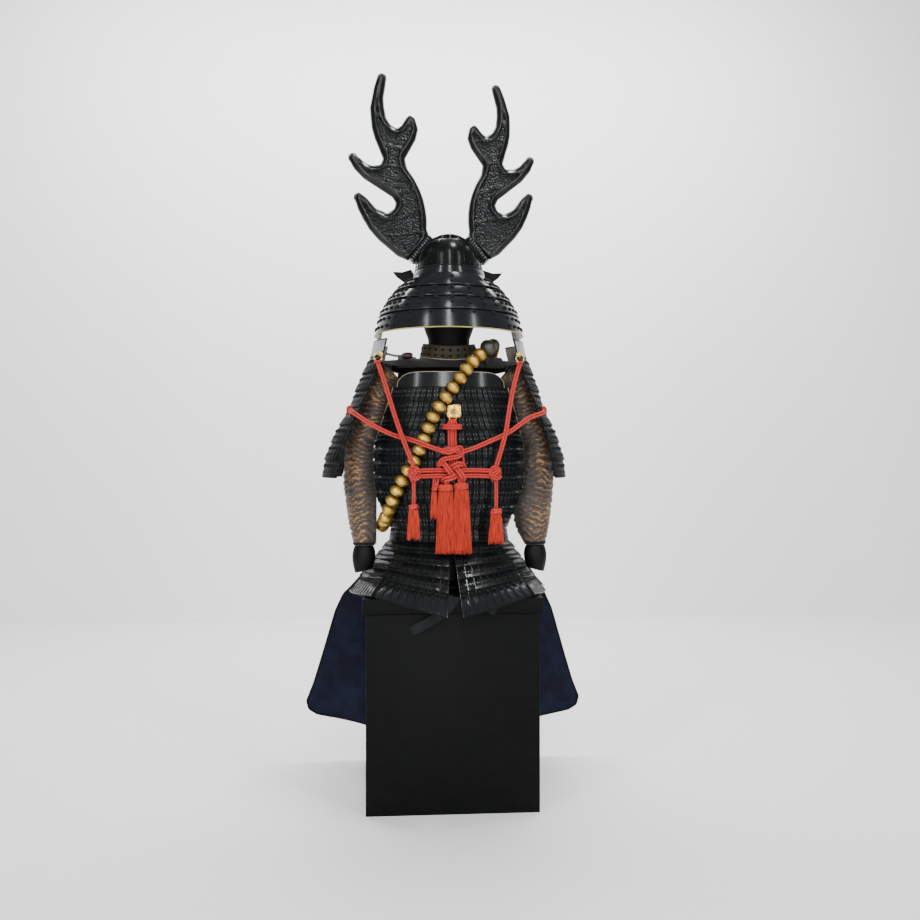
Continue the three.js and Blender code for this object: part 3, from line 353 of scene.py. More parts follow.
# Finishes. Each is named for the real surface, and where a colour also holds painted light or shade, its name
# or comment says so.
def linear(hex_colour):
    """sRGB hex to the linear colour that a shader takes."""
    parts = [int(hex_colour[i : i + 2], 16) / 255 for i in (1, 3, 5)]
    return (*[c / 12.92 if c <= 0.04045 else ((c + 0.055) / 1.055) ** 2.4 for c in parts], 1.0)


def add_node(tree, kind, settings=None, inputs=None, links=None, feeds=None):
    """A shader node with its settings, plain inputs, links into it and sockets that it feeds."""
    made = tree.nodes.new(kind)
    for name, value in (settings or {}).items():
        setattr(made, name, value)
    for name, value in (inputs or {}).items():
        made.inputs[name].default_value = value
    for name, output in (links or {}).items():
        tree.links.new(output, made.inputs[name])
    for name, socket in (feeds or {}).items():
        tree.links.new(made.outputs[name], socket)
    return made


# Sockets of the mix node for colours.
SHARE, FIRST, SECOND, MIXED = 0, 6, 7, 2


def surface(name, colour, rough, metal=0.0, coat=0.0, sheen=0.0, specular=0.5):
    """A plain material. Returns it with its tree, shader and object and UV coordinates."""
    material = bpy.data.materials.new(name)
    material.use_nodes = True
    tree = material.node_tree
    shader = tree.nodes["Principled BSDF"]
    for socket, value in {
        "Base Color": linear(colour), "Roughness": rough, "Metallic": metal, "Coat Weight": coat,
        "Coat Roughness": 0.12, "Sheen Weight": sheen, "Specular IOR Level": specular,
    }.items():
        shader.inputs[socket].default_value = value
    coords = tree.nodes.new("ShaderNodeTexCoord")
    return material, tree, shader, coords.outputs["Object"], coords.outputs["UV"]


def speckled(name, colour, other, rough, scale, **more):
    """A material with a second tone in soft patches and a slightly uneven gloss."""
    material, tree, shader, place, _ = surface(name, colour, rough, **more)
    patches = add_node(
        tree, "ShaderNodeTexNoise", inputs={"Scale": scale, "Detail": 6.0, "Roughness": 0.5},
        links={"Vector": place},
    ).outputs["Fac"]
    share = add_node(
        tree, "ShaderNodeMapRange", inputs={"From Min": 0.35, "From Max": 0.7}, links={"Value": patches},
    ).outputs["Result"]
    add_node(
        tree, "ShaderNodeMix", {"data_type": "RGBA"}, {FIRST: linear(colour), SECOND: linear(other)},
        {SHARE: share}, {MIXED: shader.inputs["Base Color"]},
    )
    add_node(
        tree, "ShaderNodeMapRange", inputs={"To Min": rough * 0.8, "To Max": rough * 1.25},
        links={"Value": patches}, feeds={"Result": shader.inputs["Roughness"]},
    )
    return material, tree, shader, place


def plain_lacquer(name, colour, other, rough, ripple, specular=0.3):
    """Black lacquer: nearly even, with the faint ripple of brushed coats, about 17 mm apart."""
    material, tree, shader, place = speckled(name, colour, other, rough, 30.0, specular=specular)
    brushed = add_node(
        tree, "ShaderNodeTexNoise", inputs={"Scale": 60.0, "Detail": 2.0, "Roughness": 0.5},
        links={"Vector": place},
    ).outputs["Fac"]
    add_node(
        tree, "ShaderNodeBump", inputs={"Strength": 1.0, "Distance": ripple * MM}, links={"Height": brushed},
        feeds={"Normal": shader.inputs["Normal"]},
    )
    return material


def cloth(name, colour, other, rough, thread, depth, sheen=0.2):
    """Woven cloth: crossing threads at a fine pitch, with worn patches about 40 mm wide."""
    material, tree, shader, place = speckled(name, colour, other, rough, 25.0, sheen=sheen, specular=0.2)
    warp, weft = [
        add_node(
            tree, "ShaderNodeTexWave", {"bands_direction": way}, {"Scale": thread, "Distortion": 1.5},
            {"Vector": place},
        ).outputs["Fac"]
        for way in ("X", "Z")
    ]
    weave = add_node(tree, "ShaderNodeMath", {"operation": "MAXIMUM"}, links={0: warp, 1: weft}).outputs[0]
    add_node(
        tree, "ShaderNodeBump", inputs={"Strength": 0.6, "Distance": depth * MM}, links={"Height": weave},
        feeds={"Normal": shader.inputs["Normal"]},
    )
    return material


def braid(name, colour, shade, pitch):
    """Round silk braid: two sets of strands that cross along the cord, three to a turn, with painted shade in
    a darker red where the strands dip.
    """
    material, tree, shader, _, flat = surface(name, colour, 0.55, sheen=0.05, specular=0.3)
    parts = add_node(tree, "ShaderNodeSeparateXYZ", links={"Vector": flat}).outputs
    turns, run = [
        add_node(
            tree, "ShaderNodeMath", {"operation": "MULTIPLY"}, {1: pace}, {0: parts[axis]},
        ).outputs[0]
        for axis, pace in (("X", 2 * math.pi * 3), ("Y", 2 * math.pi / pitch))
    ]
    strands = []
    for way in ("ADD", "SUBTRACT"):
        phase = add_node(tree, "ShaderNodeMath", {"operation": way}, links={0: run, 1: turns}).outputs[0]
        strands.append(add_node(tree, "ShaderNodeMath", {"operation": "SINE"}, links={0: phase}).outputs[0])
    height = add_node(
        tree, "ShaderNodeMath", {"operation": "MAXIMUM"}, links={0: strands[0], 1: strands[1]},
    ).outputs[0]
    # Painted shade: the colour falls to the dark red shade where the strands sink between their crossings.
    share = add_node(
        tree, "ShaderNodeMapRange", inputs={"From Min": -0.4, "From Max": 0.7}, links={"Value": height},
    ).outputs["Result"]
    add_node(
        tree, "ShaderNodeMix", {"data_type": "RGBA"}, {FIRST: linear(shade), SECOND: linear(colour)},
        {SHARE: share}, {MIXED: shader.inputs["Base Color"]},
    )
    add_node(
        tree, "ShaderNodeBump", inputs={"Strength": 1.0, "Distance": 0.5 * MM}, links={"Height": height},
        feeds={"Normal": shader.inputs["Normal"]},
    )
    return material


def brocade_cloth():
    """Gathered brocade: brown ground, gold-brown threads in uneven broken lines, 3 mm apart, with a painted
    highlight on the crests of the gathers and painted shade in their valleys and on the inner half.
    """
    material, tree, shader, place, _ = surface("gathered_brocade", "#4A3220", 0.5, sheen=0.25, specular=0.45)
    lines, flecks = [
        add_node(
            tree, "ShaderNodeTexNoise", inputs={"Scale": 1.0, "Detail": detail, "Roughness": rough},
            links={"Vector": add_node(
                tree, "ShaderNodeMapping", {"vector_type": "POINT"}, {"Scale": scale}, {"Vector": place},
            ).outputs["Vector"]},
        ).outputs["Fac"]
        for scale, detail, rough in (((90, 90, 300), 4.0, 0.6), ((260, 260, 420), 3.0, 0.5))
    ]
    # The point attribute "ridge" holds painted light and shade: high on the crests of the gathers, low in
    # their valleys and on the inner half.
    ridge = add_node(tree, "ShaderNodeAttribute", {"attribute_name": "ridge"}).outputs["Fac"]
    gold = lines
    for source, weight in ((flecks, 0.45), (ridge, 0.36)):
        part = add_node(tree, "ShaderNodeMath", {"operation": "MULTIPLY"}, {1: weight}, {0: source}).outputs[0]
        gold = add_node(tree, "ShaderNodeMath", {"operation": "ADD"}, links={0: gold, 1: part}).outputs[0]
    share = add_node(
        tree, "ShaderNodeMapRange", inputs={"From Min": 0.84, "From Max": 1.1}, links={"Value": gold},
    ).outputs["Result"]
    # Painted shade and highlight: near-black brown in the valleys, lighter brown on the crests.
    ground = add_node(
        tree, "ShaderNodeMix", {"data_type": "RGBA"}, {FIRST: linear("#130B06"), SECOND: linear("#55381C")},
        {SHARE: ridge},
    ).outputs[MIXED]
    add_node(
        tree, "ShaderNodeMix", {"data_type": "RGBA"}, {SECOND: linear("#9F7B49")},
        {SHARE: share, FIRST: ground}, {MIXED: shader.inputs["Base Color"]},
    )
    add_node(
        tree, "ShaderNodeMapRange", inputs={"To Max": 0.45}, links={"Value": share},
        feeds={"Result": shader.inputs["Metallic"]},
    )
    small = add_node(tree, "ShaderNodeMath", {"operation": "MULTIPLY"}, {1: 0.3}, {0: flecks}).outputs[0]
    height = add_node(tree, "ShaderNodeMath", {"operation": "ADD"}, links={0: lines, 1: small}).outputs[0]
    add_node(
        tree, "ShaderNodeBump", inputs={"Strength": 1.0, "Distance": 2.2 * MM}, links={"Height": height},
        feeds={"Normal": shader.inputs["Normal"]},
    )
    return material


def antler_lacquer():
    """Lacquered antler: smooth glossy rims and tines round a pebbled field with raised scrolls."""
    material, tree, shader, place, _ = surface("antler_lacquer", "#08090A", 0.24, specular=0.3)
    field = add_node(tree, "ShaderNodeAttribute", {"attribute_name": "field"}).outputs["Fac"]
    pebbles = add_node(
        tree, "ShaderNodeTexVoronoi", {"feature": "SMOOTH_F1"}, {"Scale": 190.0, "Smoothness": 0.4},
        {"Vector": place},
    ).outputs["Distance"]
    scrolls = add_node(
        tree, "ShaderNodeTexWave", {"wave_type": "RINGS", "rings_direction": "Y"},
        {"Scale": 5.0, "Distortion": 7.0, "Detail": 0.6, "Detail Scale": 1.2}, {"Vector": place},
    ).outputs["Fac"]
    raised = add_node(
        tree, "ShaderNodeMapRange", inputs={"From Min": 0.9, "From Max": 0.985}, links={"Value": scrolls},
    ).outputs["Result"]
    tall, sunk = [
        add_node(tree, "ShaderNodeMath", {"operation": "MULTIPLY"}, {1: weight}, {0: source}).outputs[0]
        for source, weight in ((raised, 0.7), (pebbles, 1.2))
    ]
    rise = add_node(tree, "ShaderNodeMath", {"operation": "SUBTRACT"}, links={0: tall, 1: sunk}).outputs[0]
    height = add_node(tree, "ShaderNodeMath", {"operation": "MULTIPLY"}, links={0: rise, 1: field}).outputs[0]
    add_node(
        tree, "ShaderNodeBump", inputs={"Strength": 1.0, "Distance": 7.0 * MM}, links={"Height": height},
        feeds={"Normal": shader.inputs["Normal"]},
    )
    add_node(
        tree, "ShaderNodeMapRange", inputs={"To Min": 0.2, "To Max": 0.3}, links={"Value": field},
        feeds={"Result": shader.inputs["Roughness"]},
    )
    add_node(
        tree, "ShaderNodeMix", {"data_type": "RGBA"}, {FIRST: linear("#060708"), SECOND: linear("#0F1213")},
        {SHARE: field}, {MIXED: shader.inputs["Base Color"]},
    )
    return material


def thread_material(name, colour, shade):
    """Cut silk threads of a tassel: lines about 1 mm apart that run down it, with painted shade in a darker
    red between them.
    """
    material, tree, shader, place, _ = surface(name, colour, 0.7, sheen=0.05, specular=0.2)
    drawn = add_node(
        tree, "ShaderNodeMapping", {"vector_type": "POINT"}, {"Scale": (900, 900, 25)}, {"Vector": place},
    ).outputs["Vector"]
    lines = add_node(
        tree, "ShaderNodeTexNoise", inputs={"Scale": 1.0, "Detail": 2.0, "Roughness": 0.5},
        links={"Vector": drawn},
    ).outputs["Fac"]
    # Painted shade: darker red in the gaps between the lines of threads.
    share = add_node(
        tree, "ShaderNodeMapRange", inputs={"From Min": 0.35, "From Max": 0.6}, links={"Value": lines},
    ).outputs["Result"]
    add_node(
        tree, "ShaderNodeMix", {"data_type": "RGBA"}, {FIRST: linear(shade), SECOND: linear(colour)},
        {SHARE: share}, {MIXED: shader.inputs["Base Color"]},
    )
    add_node(
        tree, "ShaderNodeBump", inputs={"Strength": 1.0, "Distance": 0.8 * MM}, links={"Height": lines},
        feeds={"Normal": shader.inputs["Normal"]},
    )
    return material


def gold_leaf(name, colour, other, rough, metal):
    """Gold leaf on turned wood, worn in soft patches about 22 mm wide."""
    material, tree, shader, place = speckled(name, colour, other, rough, 45.0, metal=metal, coat=0.25)
    dents = add_node(
        tree, "ShaderNodeTexNoise", inputs={"Scale": 160.0, "Detail": 3.0, "Roughness": 0.5},
        links={"Vector": place},
    ).outputs["Fac"]
    add_node(
        tree, "ShaderNodeBump", inputs={"Strength": 1.0, "Distance": 0.5 * MM}, links={"Height": dents},
        feeds={"Normal": shader.inputs["Normal"]},
    )
    return material


MATERIALS = {
    # Plates and neck guard: deep black with crisp, bright streaks of the windows.
    "lacquer": plain_lacquer("black_lacquer", "#0B0E0F", "#101415", 0.17, 0.12, 0.3),
    # Caps of the shoulder guards: black lacquer painted grey, a painted reflection of the pale room.
    "painted_reflection_lacquer": plain_lacquer("black_lacquer_painted_grey_reflection", "#9A9A9C", "#858689", 0.3, 0.2),
    # Worn top of the bowl: black without a highlight.
    "crown": plain_lacquer("worn_crown_lacquer", "#0A0C0C", "#0E1010", 0.5, 0.1, 0.0),
    # Lowest edge of the neck guard: a thin dull yellow line.
    "rim": plain_lacquer("yellow_rim_lacquer", "#9A9252", "#7E7642", 0.35, 0.05, 0.3),
    # Bowl and ribs: black with narrow, weak reflections.
    "bowl": plain_lacquer("bowl_lacquer", "#080A0A", "#0C0E0E", 0.2, 0.1, 0.13),
    # Lacing of the body: black silk with a small glint on each knot.
    "glossy_silk": plain_lacquer("glossy_black_silk", "#07080A", "#0C0D10", 0.26, 0.3, 0.5),
    # Scales of the body: very dark with a soft sheen along each row.
    "laced": plain_lacquer("scale_lacquer", "#06090A", "#0A0E0F", 0.32, 0.4, 0.12),
    # Skirt plates: black strips with clearer reflections.
    "skirt_lacquer": plain_lacquer("skirt_scale_lacquer", "#0A0D0E", "#111516", 0.2, 0.4, 0.36),
    # Sockets of the antlers: dark grey coils with bright crests.
    "ribbed": plain_lacquer("ribbed_collar_lacquer", "#232829", "#2B3132", 0.22, 0.05, 0.9),
    # Walls, knots and bindings: dull black that swallows light.
    "silk": cloth("black_silk_lacing", "#040405", "#08090A", 0.8, 300.0, 0.3, 0.05),
    # Antlers: glossy black rims round a pebbled field of small lights.
    "antler_lacquer": antler_lacquer(),
    # Sleeves: gold-brown threads, with a painted highlight on the crests of the gathers and painted shade in
    # dark brown between them and on the inner half.
    "brocade": brocade_cloth(),
    # Turned-back ends and hand guards: black with hardly any reflection.
    "matte_lacquer": plain_lacquer("worn_black_lacquer", "#060707", "#0B0C0C", 0.5, 0.1, 0.12),
    # Scales of the shoulder guards: nearly black, seen edge on.
    "laced_side": plain_lacquer("worn_scale_lacquer", "#050707", "#090B0B", 0.4, 0.4, 0.07),
    # Thigh apron: flat dark blue.
    "navy_cloth": cloth("navy_cotton", "#0C1128", "#080A18", 0.85, 260.0, 0.35, 0.08),
    # Yoke, belt and apron binding: flat black with a fine weave.
    "black_cloth": cloth("black_cotton", "#060607", "#0B0B0D", 0.85, 260.0, 0.3, 0.06),
    # Hanging tapes: a little greyer than the box behind them.
    "tape_cloth": cloth("black_tape", "#15171A", "#0E1012", 0.8, 260.0, 0.3, 0.1),
    # Collar: dull dark olive.
    "collar_cloth": cloth("olive_cloth", "#3C382C", "#2A271F", 0.85, 240.0, 0.4, 0.1),
    # Piping: a thin pale line beside dark cloth.
    "piping": cloth("beige_piping", "#8F8468", "#6F664F", 0.8, 300.0, 0.2),
    # Cords and knots: red strands that cross, with painted shade in dark red between them.
    "red_braid": braid("red_silk_braid", "#C02C22", "#5E100B", 7.0),
    # Tassels: fine upright lines in warm red, with painted shade between them.
    "red_threads": thread_material("red_silk_threads", "#BA351D", "#6A170C"),
    # Beads: warm gold with soft highlights and worn patches.
    "gilt_wood": gold_leaf("gilt_wood", "#CBA750", "#9A7A2B", 0.33, 0.85),
    # Great bead at the shoulder: dark olive with one soft highlight.
    "olive_wood": gold_leaf("dark_olive_wood", "#2E2B1D", "#1E1C12", 0.4, 0.1),
    # Plate and rings: bright yellow metal with sharp highlights.
    "gilt_metal": gold_leaf("gilt_copper", "#DDB960", "#A8802E", 0.24, 1.0),
    # Box and lid: satin black with a faint, even sheen.
    "box_paint": plain_lacquer("black_box_paint", "#040605", "#070908", 0.45, 0.15, 0.07),
    # Inner stand: dull black, seen only through gaps.
    "stand_wood": plain_lacquer("black_stand_wood", "#050506", "#080809", 0.6, 0.1, 0.12),
    # Shoulder toggle: dark purple-brown with a soft shine.
    "toggle": plain_lacquer("purple_brown_wood", "#2E1622", "#220F19", 0.35, 0.1),
}


def made_object(name, mesh, finish, stands_for=()):
    """Links a finished mesh at the origin, riding on the armour."""
    thing = bpy.data.objects.new(name, mesh)
    scene.collection.objects.link(thing)
    mesh.materials.append(MATERIALS[finish])
    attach(thing, "root")
    if stands_for:
        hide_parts(*stands_for)
    return thing


def piece(name, shape, finish, stands_for=(), flat_over=40.0):
    """A mesh from a gathered shape, smooth but for edges sharper than flat_over degrees."""
    mesh = bpy.data.meshes.new(name)
    mesh.from_pydata([tuple(c * MM for c in p) for p in shape.points], [], shape.faces)
    layer = mesh.uv_layers.new(name="run")
    layer.data.foreach_set("uv", [c for places in shape.places for uv in places for c in uv])
    work = bmesh.new()
    work.from_mesh(mesh)
    bmesh.ops.recalc_face_normals(work, faces=work.faces)
    work.to_mesh(mesh)
    work.free()
    mesh.polygons.foreach_set("use_smooth", [True] * len(mesh.polygons))
    mesh.set_sharp_from_angle(angle=math.radians(flat_over))
    return made_object(name, mesh, finish, stands_for)


def bevelled_box(name, lowest, highest, finish, bevel, stands_for):
    """A box between two corners in metres, with rounded edges."""
    mesh = bpy.data.meshes.new(name)
    work = bmesh.new()
    bmesh.ops.create_cube(work, size=1.0)
    for vertex in work.verts:
        vertex.co = [mix(lowest[i], highest[i], vertex.co[i] + 0.5) for i in range(3)]
    bmesh.ops.bevel(
        work, geom=work.edges[:], offset=bevel * MM, segments=3, profile=0.5, affect="EDGES", material=-1
    )
    work.to_mesh(mesh)
    work.free()
    mesh.polygons.foreach_set("use_smooth", [True] * len(mesh.polygons))
    mesh.set_sharp_from_angle(angle=math.radians(40))
    return made_object(name, mesh, finish, stands_for)


def remeshed(name, node, finish, voxel, rounds, change=None, added=()):
    """A smoothed copy of a solid, for forms that are rounder than its faces."""
    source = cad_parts[node].data.copy()
    source.name = name
    source.materials.clear()
    work = bmesh.new()
    work.from_mesh(source)
    for middle, radius in added:
        made = bmesh.ops.create_uvsphere(work, u_segments=20, v_segments=14, radius=radius * MM)
        for vertex in made["verts"]:
            vertex.co = vertex.co + Vector([c * MM for c in middle])
    work.to_mesh(source)
    work.free()
    thing = made_object(name, source, finish, (node,))
    weld = thing.modifiers.new("weld", "WELD")
    weld.merge_threshold = 1e-5
    fill = thing.modifiers.new("remesh", "REMESH")
    fill.mode = "VOXEL"
    fill.voxel_size = voxel * MM
    soften = thing.modifiers.new("soften", "SMOOTH")
    soften.factor = 0.5
    soften.iterations = rounds
    graph = bpy.context.evaluated_depsgraph_get()
    result = bpy.data.meshes.new_from_object(thing.evaluated_get(graph))
    thing.modifiers.clear()
    thing.data = result
    if not result.materials:
        result.materials.append(MATERIALS[finish])
    result.polygons.foreach_set("use_smooth", [True] * len(result.polygons))
    if change:
        change(result)
    return thing


# Body section, as half sizes of its rounded outline at each height.
TORSO_POWER = 2 / 2.4
TORSO = [
    {"z": 640, "wide": 160, "deep": 121}, {"z": 666, "wide": 156, "deep": 118},
    {"z": 697, "wide": 152, "deep": 114}, {"z": 732, "wide": 168, "deep": 118},
    {"z": 765, "wide": 185, "deep": 123}, {"z": 806, "wide": 196, "deep": 128},
    {"z": 844, "wide": 198, "deep": 131}, {"z": 880, "wide": 198, "deep": 133},
    {"z": 916, "wide": 196, "deep": 134}, {"z": 954, "wide": 190, "deep": 134},
    {"z": 1027, "wide": 184, "deep": 134}, {"z": 1064, "wide": 178, "deep": 132},
    {"z": 1102, "wide": 172, "deep": 126}, {"z": 1140, "wide": 168, "deep": 118},
]


def torso(angle, z):
    """Point of the body outline at an angle from the middle of the back."""
    wide = column(TORSO, "wide", z, "z")
    deep = column(TORSO, "deep", z, "z")
    return point(wide * bulge(math.sin(angle), TORSO_POWER), -deep * bulge(math.cos(angle), TORSO_POWER), z)


def band_of(top, bottom):
    return lambda u, v: torso(u, mix(top, bottom, v))


# Laced scales.
SCALE_PITCH = 14.2
SCALE_RISE = 1.5


def scales(shape, place, us, v_top, v_bottom, away, rise, lip, ridge=0.0, gap=0.05):
    """One row of lacquered scales between the stops us, each a low pillow that stands proud at its foot."""
    for left, right in zip(us[:-1], us[1:]):
        width = right - left
        stops = [left + width * s for s in (gap, gap + 0.09, 0.35, 0.65, 0.91 - gap, 1 - gap)]
        heights = [-0.4, rise + ridge, rise, rise, rise + ridge * 0.3, -0.4]
        rows = []
        drops = [(0.0, -0.4, 0.0), (0.07, 1.0, 0.1), (0.93, 1.0, 1.0), (1.0, 0.35, 1.0)]
        for share, full, lipped in drops:
            v = mix(v_top, v_bottom, share)
            row = []
            for u, height in zip(stops, heights):
                here, _, _, out = frame_at(place, u, v, away)
                tall = height * max(full, 0.0) if height > 0 else height
                row.append(here + out * (tall + lip * lipped * (height > 0) + 0.6))
            rows.append(row)
        shape.grid(rows)


def strips(shape, place, us, v_top, v_bottom, away, lip):
    """One row of flat strips, each with a raised ridge down its left side."""
    for left, right in zip(us[:-1], us[1:]):
        width = right - left
        stops = [left + width * s for s in (0.0, 0.03, 0.12, 0.18, 0.96, 1.0)]
        heights = [0.0, 1.9, 1.9, 0.9, 0.9, 0.0]
        rows = []
        for share in (0.0, 0.03, 0.5, 0.97, 1.0):
            v = mix(v_top, v_bottom, share)
            row = []
            for u, height in zip(stops, heights):
                here, _, _, out = frame_at(place, u, v, away)
                low = height * (0.02 < share < 0.98) + lip * share + 0.7
                row.append(here + out * low)
            rows.append(row)
        shape.grid(rows)


def lacing(shape, place, us, vs, away, size, lift, sideways=0.0):
    """Silk knots on a row of scales, in pairs where sideways is not zero."""
    for left, right in zip(us[:-1], us[1:]):
        middle, width = (left + right) / 2, right - left
        for v in vs:
            for side in ((-1, 1) if sideways else (0,)):
                shape.press(KNOT, place, middle + side * sideways * width, v, away, size, lift)


def arc_stops(place, start, end, v, pitch):
    """Even stops along a surface so that each scale is near the pitch in width."""
    line = np.array([place(u, v) for u in spread(start, end, 40)])
    return spread(start, end, max(2, round(line_length(line) / pitch)))


def laced_band(name, place, start, end, rows, away, stands_for, around=False, lip=2.2):
    """A band of laced rows: a dark wall, its scales and its silk."""
    wall, plates, silk = Shape(), Shape(), Shape()
    steps = 72 if around else 40
    us = spread(start, end, steps)
    if around:
        us = us[:-1]
    wall.shell(place, us, spread(0, 1, 2 * rows), 1.2, away, around=around)
    for row in range(rows):
        top, bottom = row / rows, (row + 1) / rows
        stops = arc_stops(place, start, end, (top + bottom) / 2, SCALE_PITCH)
        scales(plates, place, stops, top, mix(top, bottom, 0.985), away, SCALE_RISE, lip)
        height = bottom - top
        heights = [top + 0.3 * height, top + 0.62 * height]
        lacing(silk, place, stops, heights, away, (2.0, 4.6, 1.5), 2.6, 0.22)
    piece(f"{name}_wall", wall, "silk", stands_for)
    piece(f"{name}_scales", plates, "laced")
    piece(f"{name}_lacing", silk, "glossy_silk")


# Rows round the waist: node, top, foot and count of rows.
WAIST_LAMES = [
    ("waist_lames_1", 916, 844, 2), ("waist_lame_2", 844, 806, 1), ("waist_lame_3", 806, 765, 1),
    ("waist_lame_4", 765, 732, 1), ("waist_lames_5", 732, 666, 2),
]
for lame, top, bottom, rows in WAIST_LAMES:
    laced_band(lame, band_of(top, bottom), -math.pi, math.pi, rows, from_middle, (lame,), around=True)

BACK_HALF, FRONT_HALF = math.radians(53), math.radians(50)
BACK_LOW, FRONT_LOW = 86 / 53, 82 / 50
ARMHOLE_CURVE = 1.5


def upper_back_place(u, v):
    """Back rows that reach further round the body towards the waist."""
    return torso(u * mix(1, BACK_LOW, max(v, 0) ** ARMHOLE_CURVE), mix(1064, 916, v))


def upper_front_place(u, v):
    """Breast rows that meet the back rows under the arms. u runs round the middle of the breast."""
    return torso(math.pi + u * mix(1, FRONT_LOW, max(v, 0) ** ARMHOLE_CURVE), mix(990, 916, v))


laced_band("upper_back", upper_back_place, -BACK_HALF, BACK_HALF, 4, from_middle, ("upper_back_lames",))
laced_band("upper_front", upper_front_place, -FRONT_HALF, FRONT_HALF, 2, from_middle, ("upper_front_lames",))


def edge_line(place, us, vs, away, lift):
    """Line round the top and sides of a panel, a little off its face."""
    stops = [(us[0], v) for v in reversed(vs)] + [(u, vs[0]) for u in us[1:-1]] + [(us[-1], v) for v in vs]
    return lifted(place, stops, away, lift)


def corner_plate(name, middle, half_angle, top, bottom, drop, node):
    """Smooth top plate of the back or breast with rounded corners and a brass-coloured edge."""
    middle, half = math.radians(middle), math.radians(half_angle)

    def place(u, v):
        reach = min(abs(u - middle) / half, 1.02)
        return torso(u, mix(top - drop * reach**7, bottom, v))

    us = [middle + half * bulge(s, 0.7) for s in spread(-1, 1, 48)]
    plate = Shape()
    plate.shell(place, us, spread(0, 1, 8), 2.6, from_middle)
    piece(name, plate, "lacquer", (node,))
    rim = Shape()
    rim.tube(evenly(edge_line(place, us, spread(0, 1, 6), from_middle, 2.2), 90), 1.1, 6, from_middle)
    piece(f"{name}_edge", rim, "piping")


corner_plate("back_plate", 0, 47, 1102, 1064, 24, "back_plate")
corner_plate("breast_plate", 180, 44, 1062, 990, 30, "breast_plate")

# Beige piping down both sides of the upper back, along the armholes.
for name, side in SIDES:
    armhole = Shape()
    line = np.array([upper_back_place(side * BACK_HALF, v) for v in spread(0, 1, 12)])
    armhole.tube(line + unit(point(side, -0.7, 0)) * 2.4, 1.3, 6, from_middle)
    piece(f"armhole_piping_{name}", armhole, "piping")


# Shoulders: yoke, straps and collar.
def shoulder_height(x, y):
    return 1148 - 0.00266 * y * y - 0.00028 * x * x


def yoke_place(u, v):
    power = mix(1, 2 / 3, v)
    x = mix(70, 193, v) * bulge(math.sin(u), power)
    y = -mix(68, 112, v) * bulge(math.cos(u), power)
    return point(x, y, shoulder_height(x, y))


yoke = Shape()
yoke.shell(
    yoke_place, full_turn(96)[:-1], spread(0, 1, 10), 2.2, upward,
    relief=lambda u, v: 0.5 * noise.noise(Vector((4 * math.sin(u), 4 * math.cos(u), 5 * v))), around=True,
)
yoke_cloth = piece("shoulder_yoke_cloth", yoke, "black_cloth", ("shoulder_yoke",))
STRAP_ROUTE = [
    (-123.4, 1078), (-121.6, 1096), (-116, 1113.5), (-104, 1122.5), (-80, 1133.5), (-40, 1145.2), (0, 1149.6),
    (40, 1145.2), (80, 1133.5), (104, 1122.5), (117, 1115.5), (122, 1098), (125, 1072), (126, 1046),
]
for name, side in SIDES:

    def strap_place(u, v, side=side):
        y = smooth_column([row[0] for row in STRAP_ROUTE], v)
        z = smooth_column([row[1] for row in STRAP_ROUTE], v)
        return point(side * 113 + 24 * u, y, z - 0.2)

    away_from_body = lambda p: point(0, p[1] * 0.6, 90)
    strap = Shape()
    strap.shell(strap_place, spread(-1, 1, 8), spread(0.15, 1, 60), 3.0, away_from_body)
    strap_cloth = piece(f"shoulder_strap_{name}_cloth", strap, "silk", (f"shoulder_strap_{name}",))


def collar_place(u, v):
    x, y = 71 * math.sin(u), -70 * math.cos(u)
    low = shoulder_height(x * 1.05, y * 1.05) + 2.8
    lean = mix(0.95, 1.05, v)
    return point(x * lean, y * lean, mix(low + 38, low, v))


COLLAR_HALF = math.radians(146)
collar = Shape()
collar.shell(
    collar_place, spread(-COLLAR_HALF, COLLAR_HALF, 90), spread(0, 1, 8), 3.0, from_middle,
    relief=lambda u, v: 0.8 * math.sin(math.pi * v),
)
collar_cloth = piece("collar_cloth", collar, "collar_cloth", ("collar",))
studs = Shape()
for v in (0.3, 0.72):
    for u in spread(-COLLAR_HALF * 0.97, COLLAR_HALF * 0.97, 18):
        studs.press(SMALL_ROUND, collar_place, u, v, from_middle, (4.2, 4.2, 1.8), 3.4)
stud_rows = piece("collar_studs", studs, "silk")
piping = Shape()
edge_stops = [(u, 0.96) for u in spread(-COLLAR_HALF, COLLAR_HALF, 80)]
piping.tube(lifted(collar_place, edge_stops, from_middle, 3.2), 1.5, 6, upward)
collar_edge = piece("collar_piping", piping, "piping")


# Skirt panels under the waist.
SKIRT_TOP = 663.7
# Name, angles at the waist, paired or not, ends of the hem, its bow outwards and the count of plates.
SKIRT_PANELS = [
    ("skirt_back", 0.3, 46.5, True, (18, -283, 499), (196, -205.5, 539), 6, 9),
    ("skirt_side", 46.6, 98, True, (199, -208, 541), (264, 52, 516), 12, 12),
    ("skirt_front_side", 101, 147, True, (266, 62, 524), (200, 234, 549), 10, 9),
    ("skirt_front", 151, 209, False, (120, 274, 503), (-120, 274, 503), 5, 12),
]
SKIRT_STOPS = [0, 0.17, 0.34, 0.51, 0.69, 1.0]


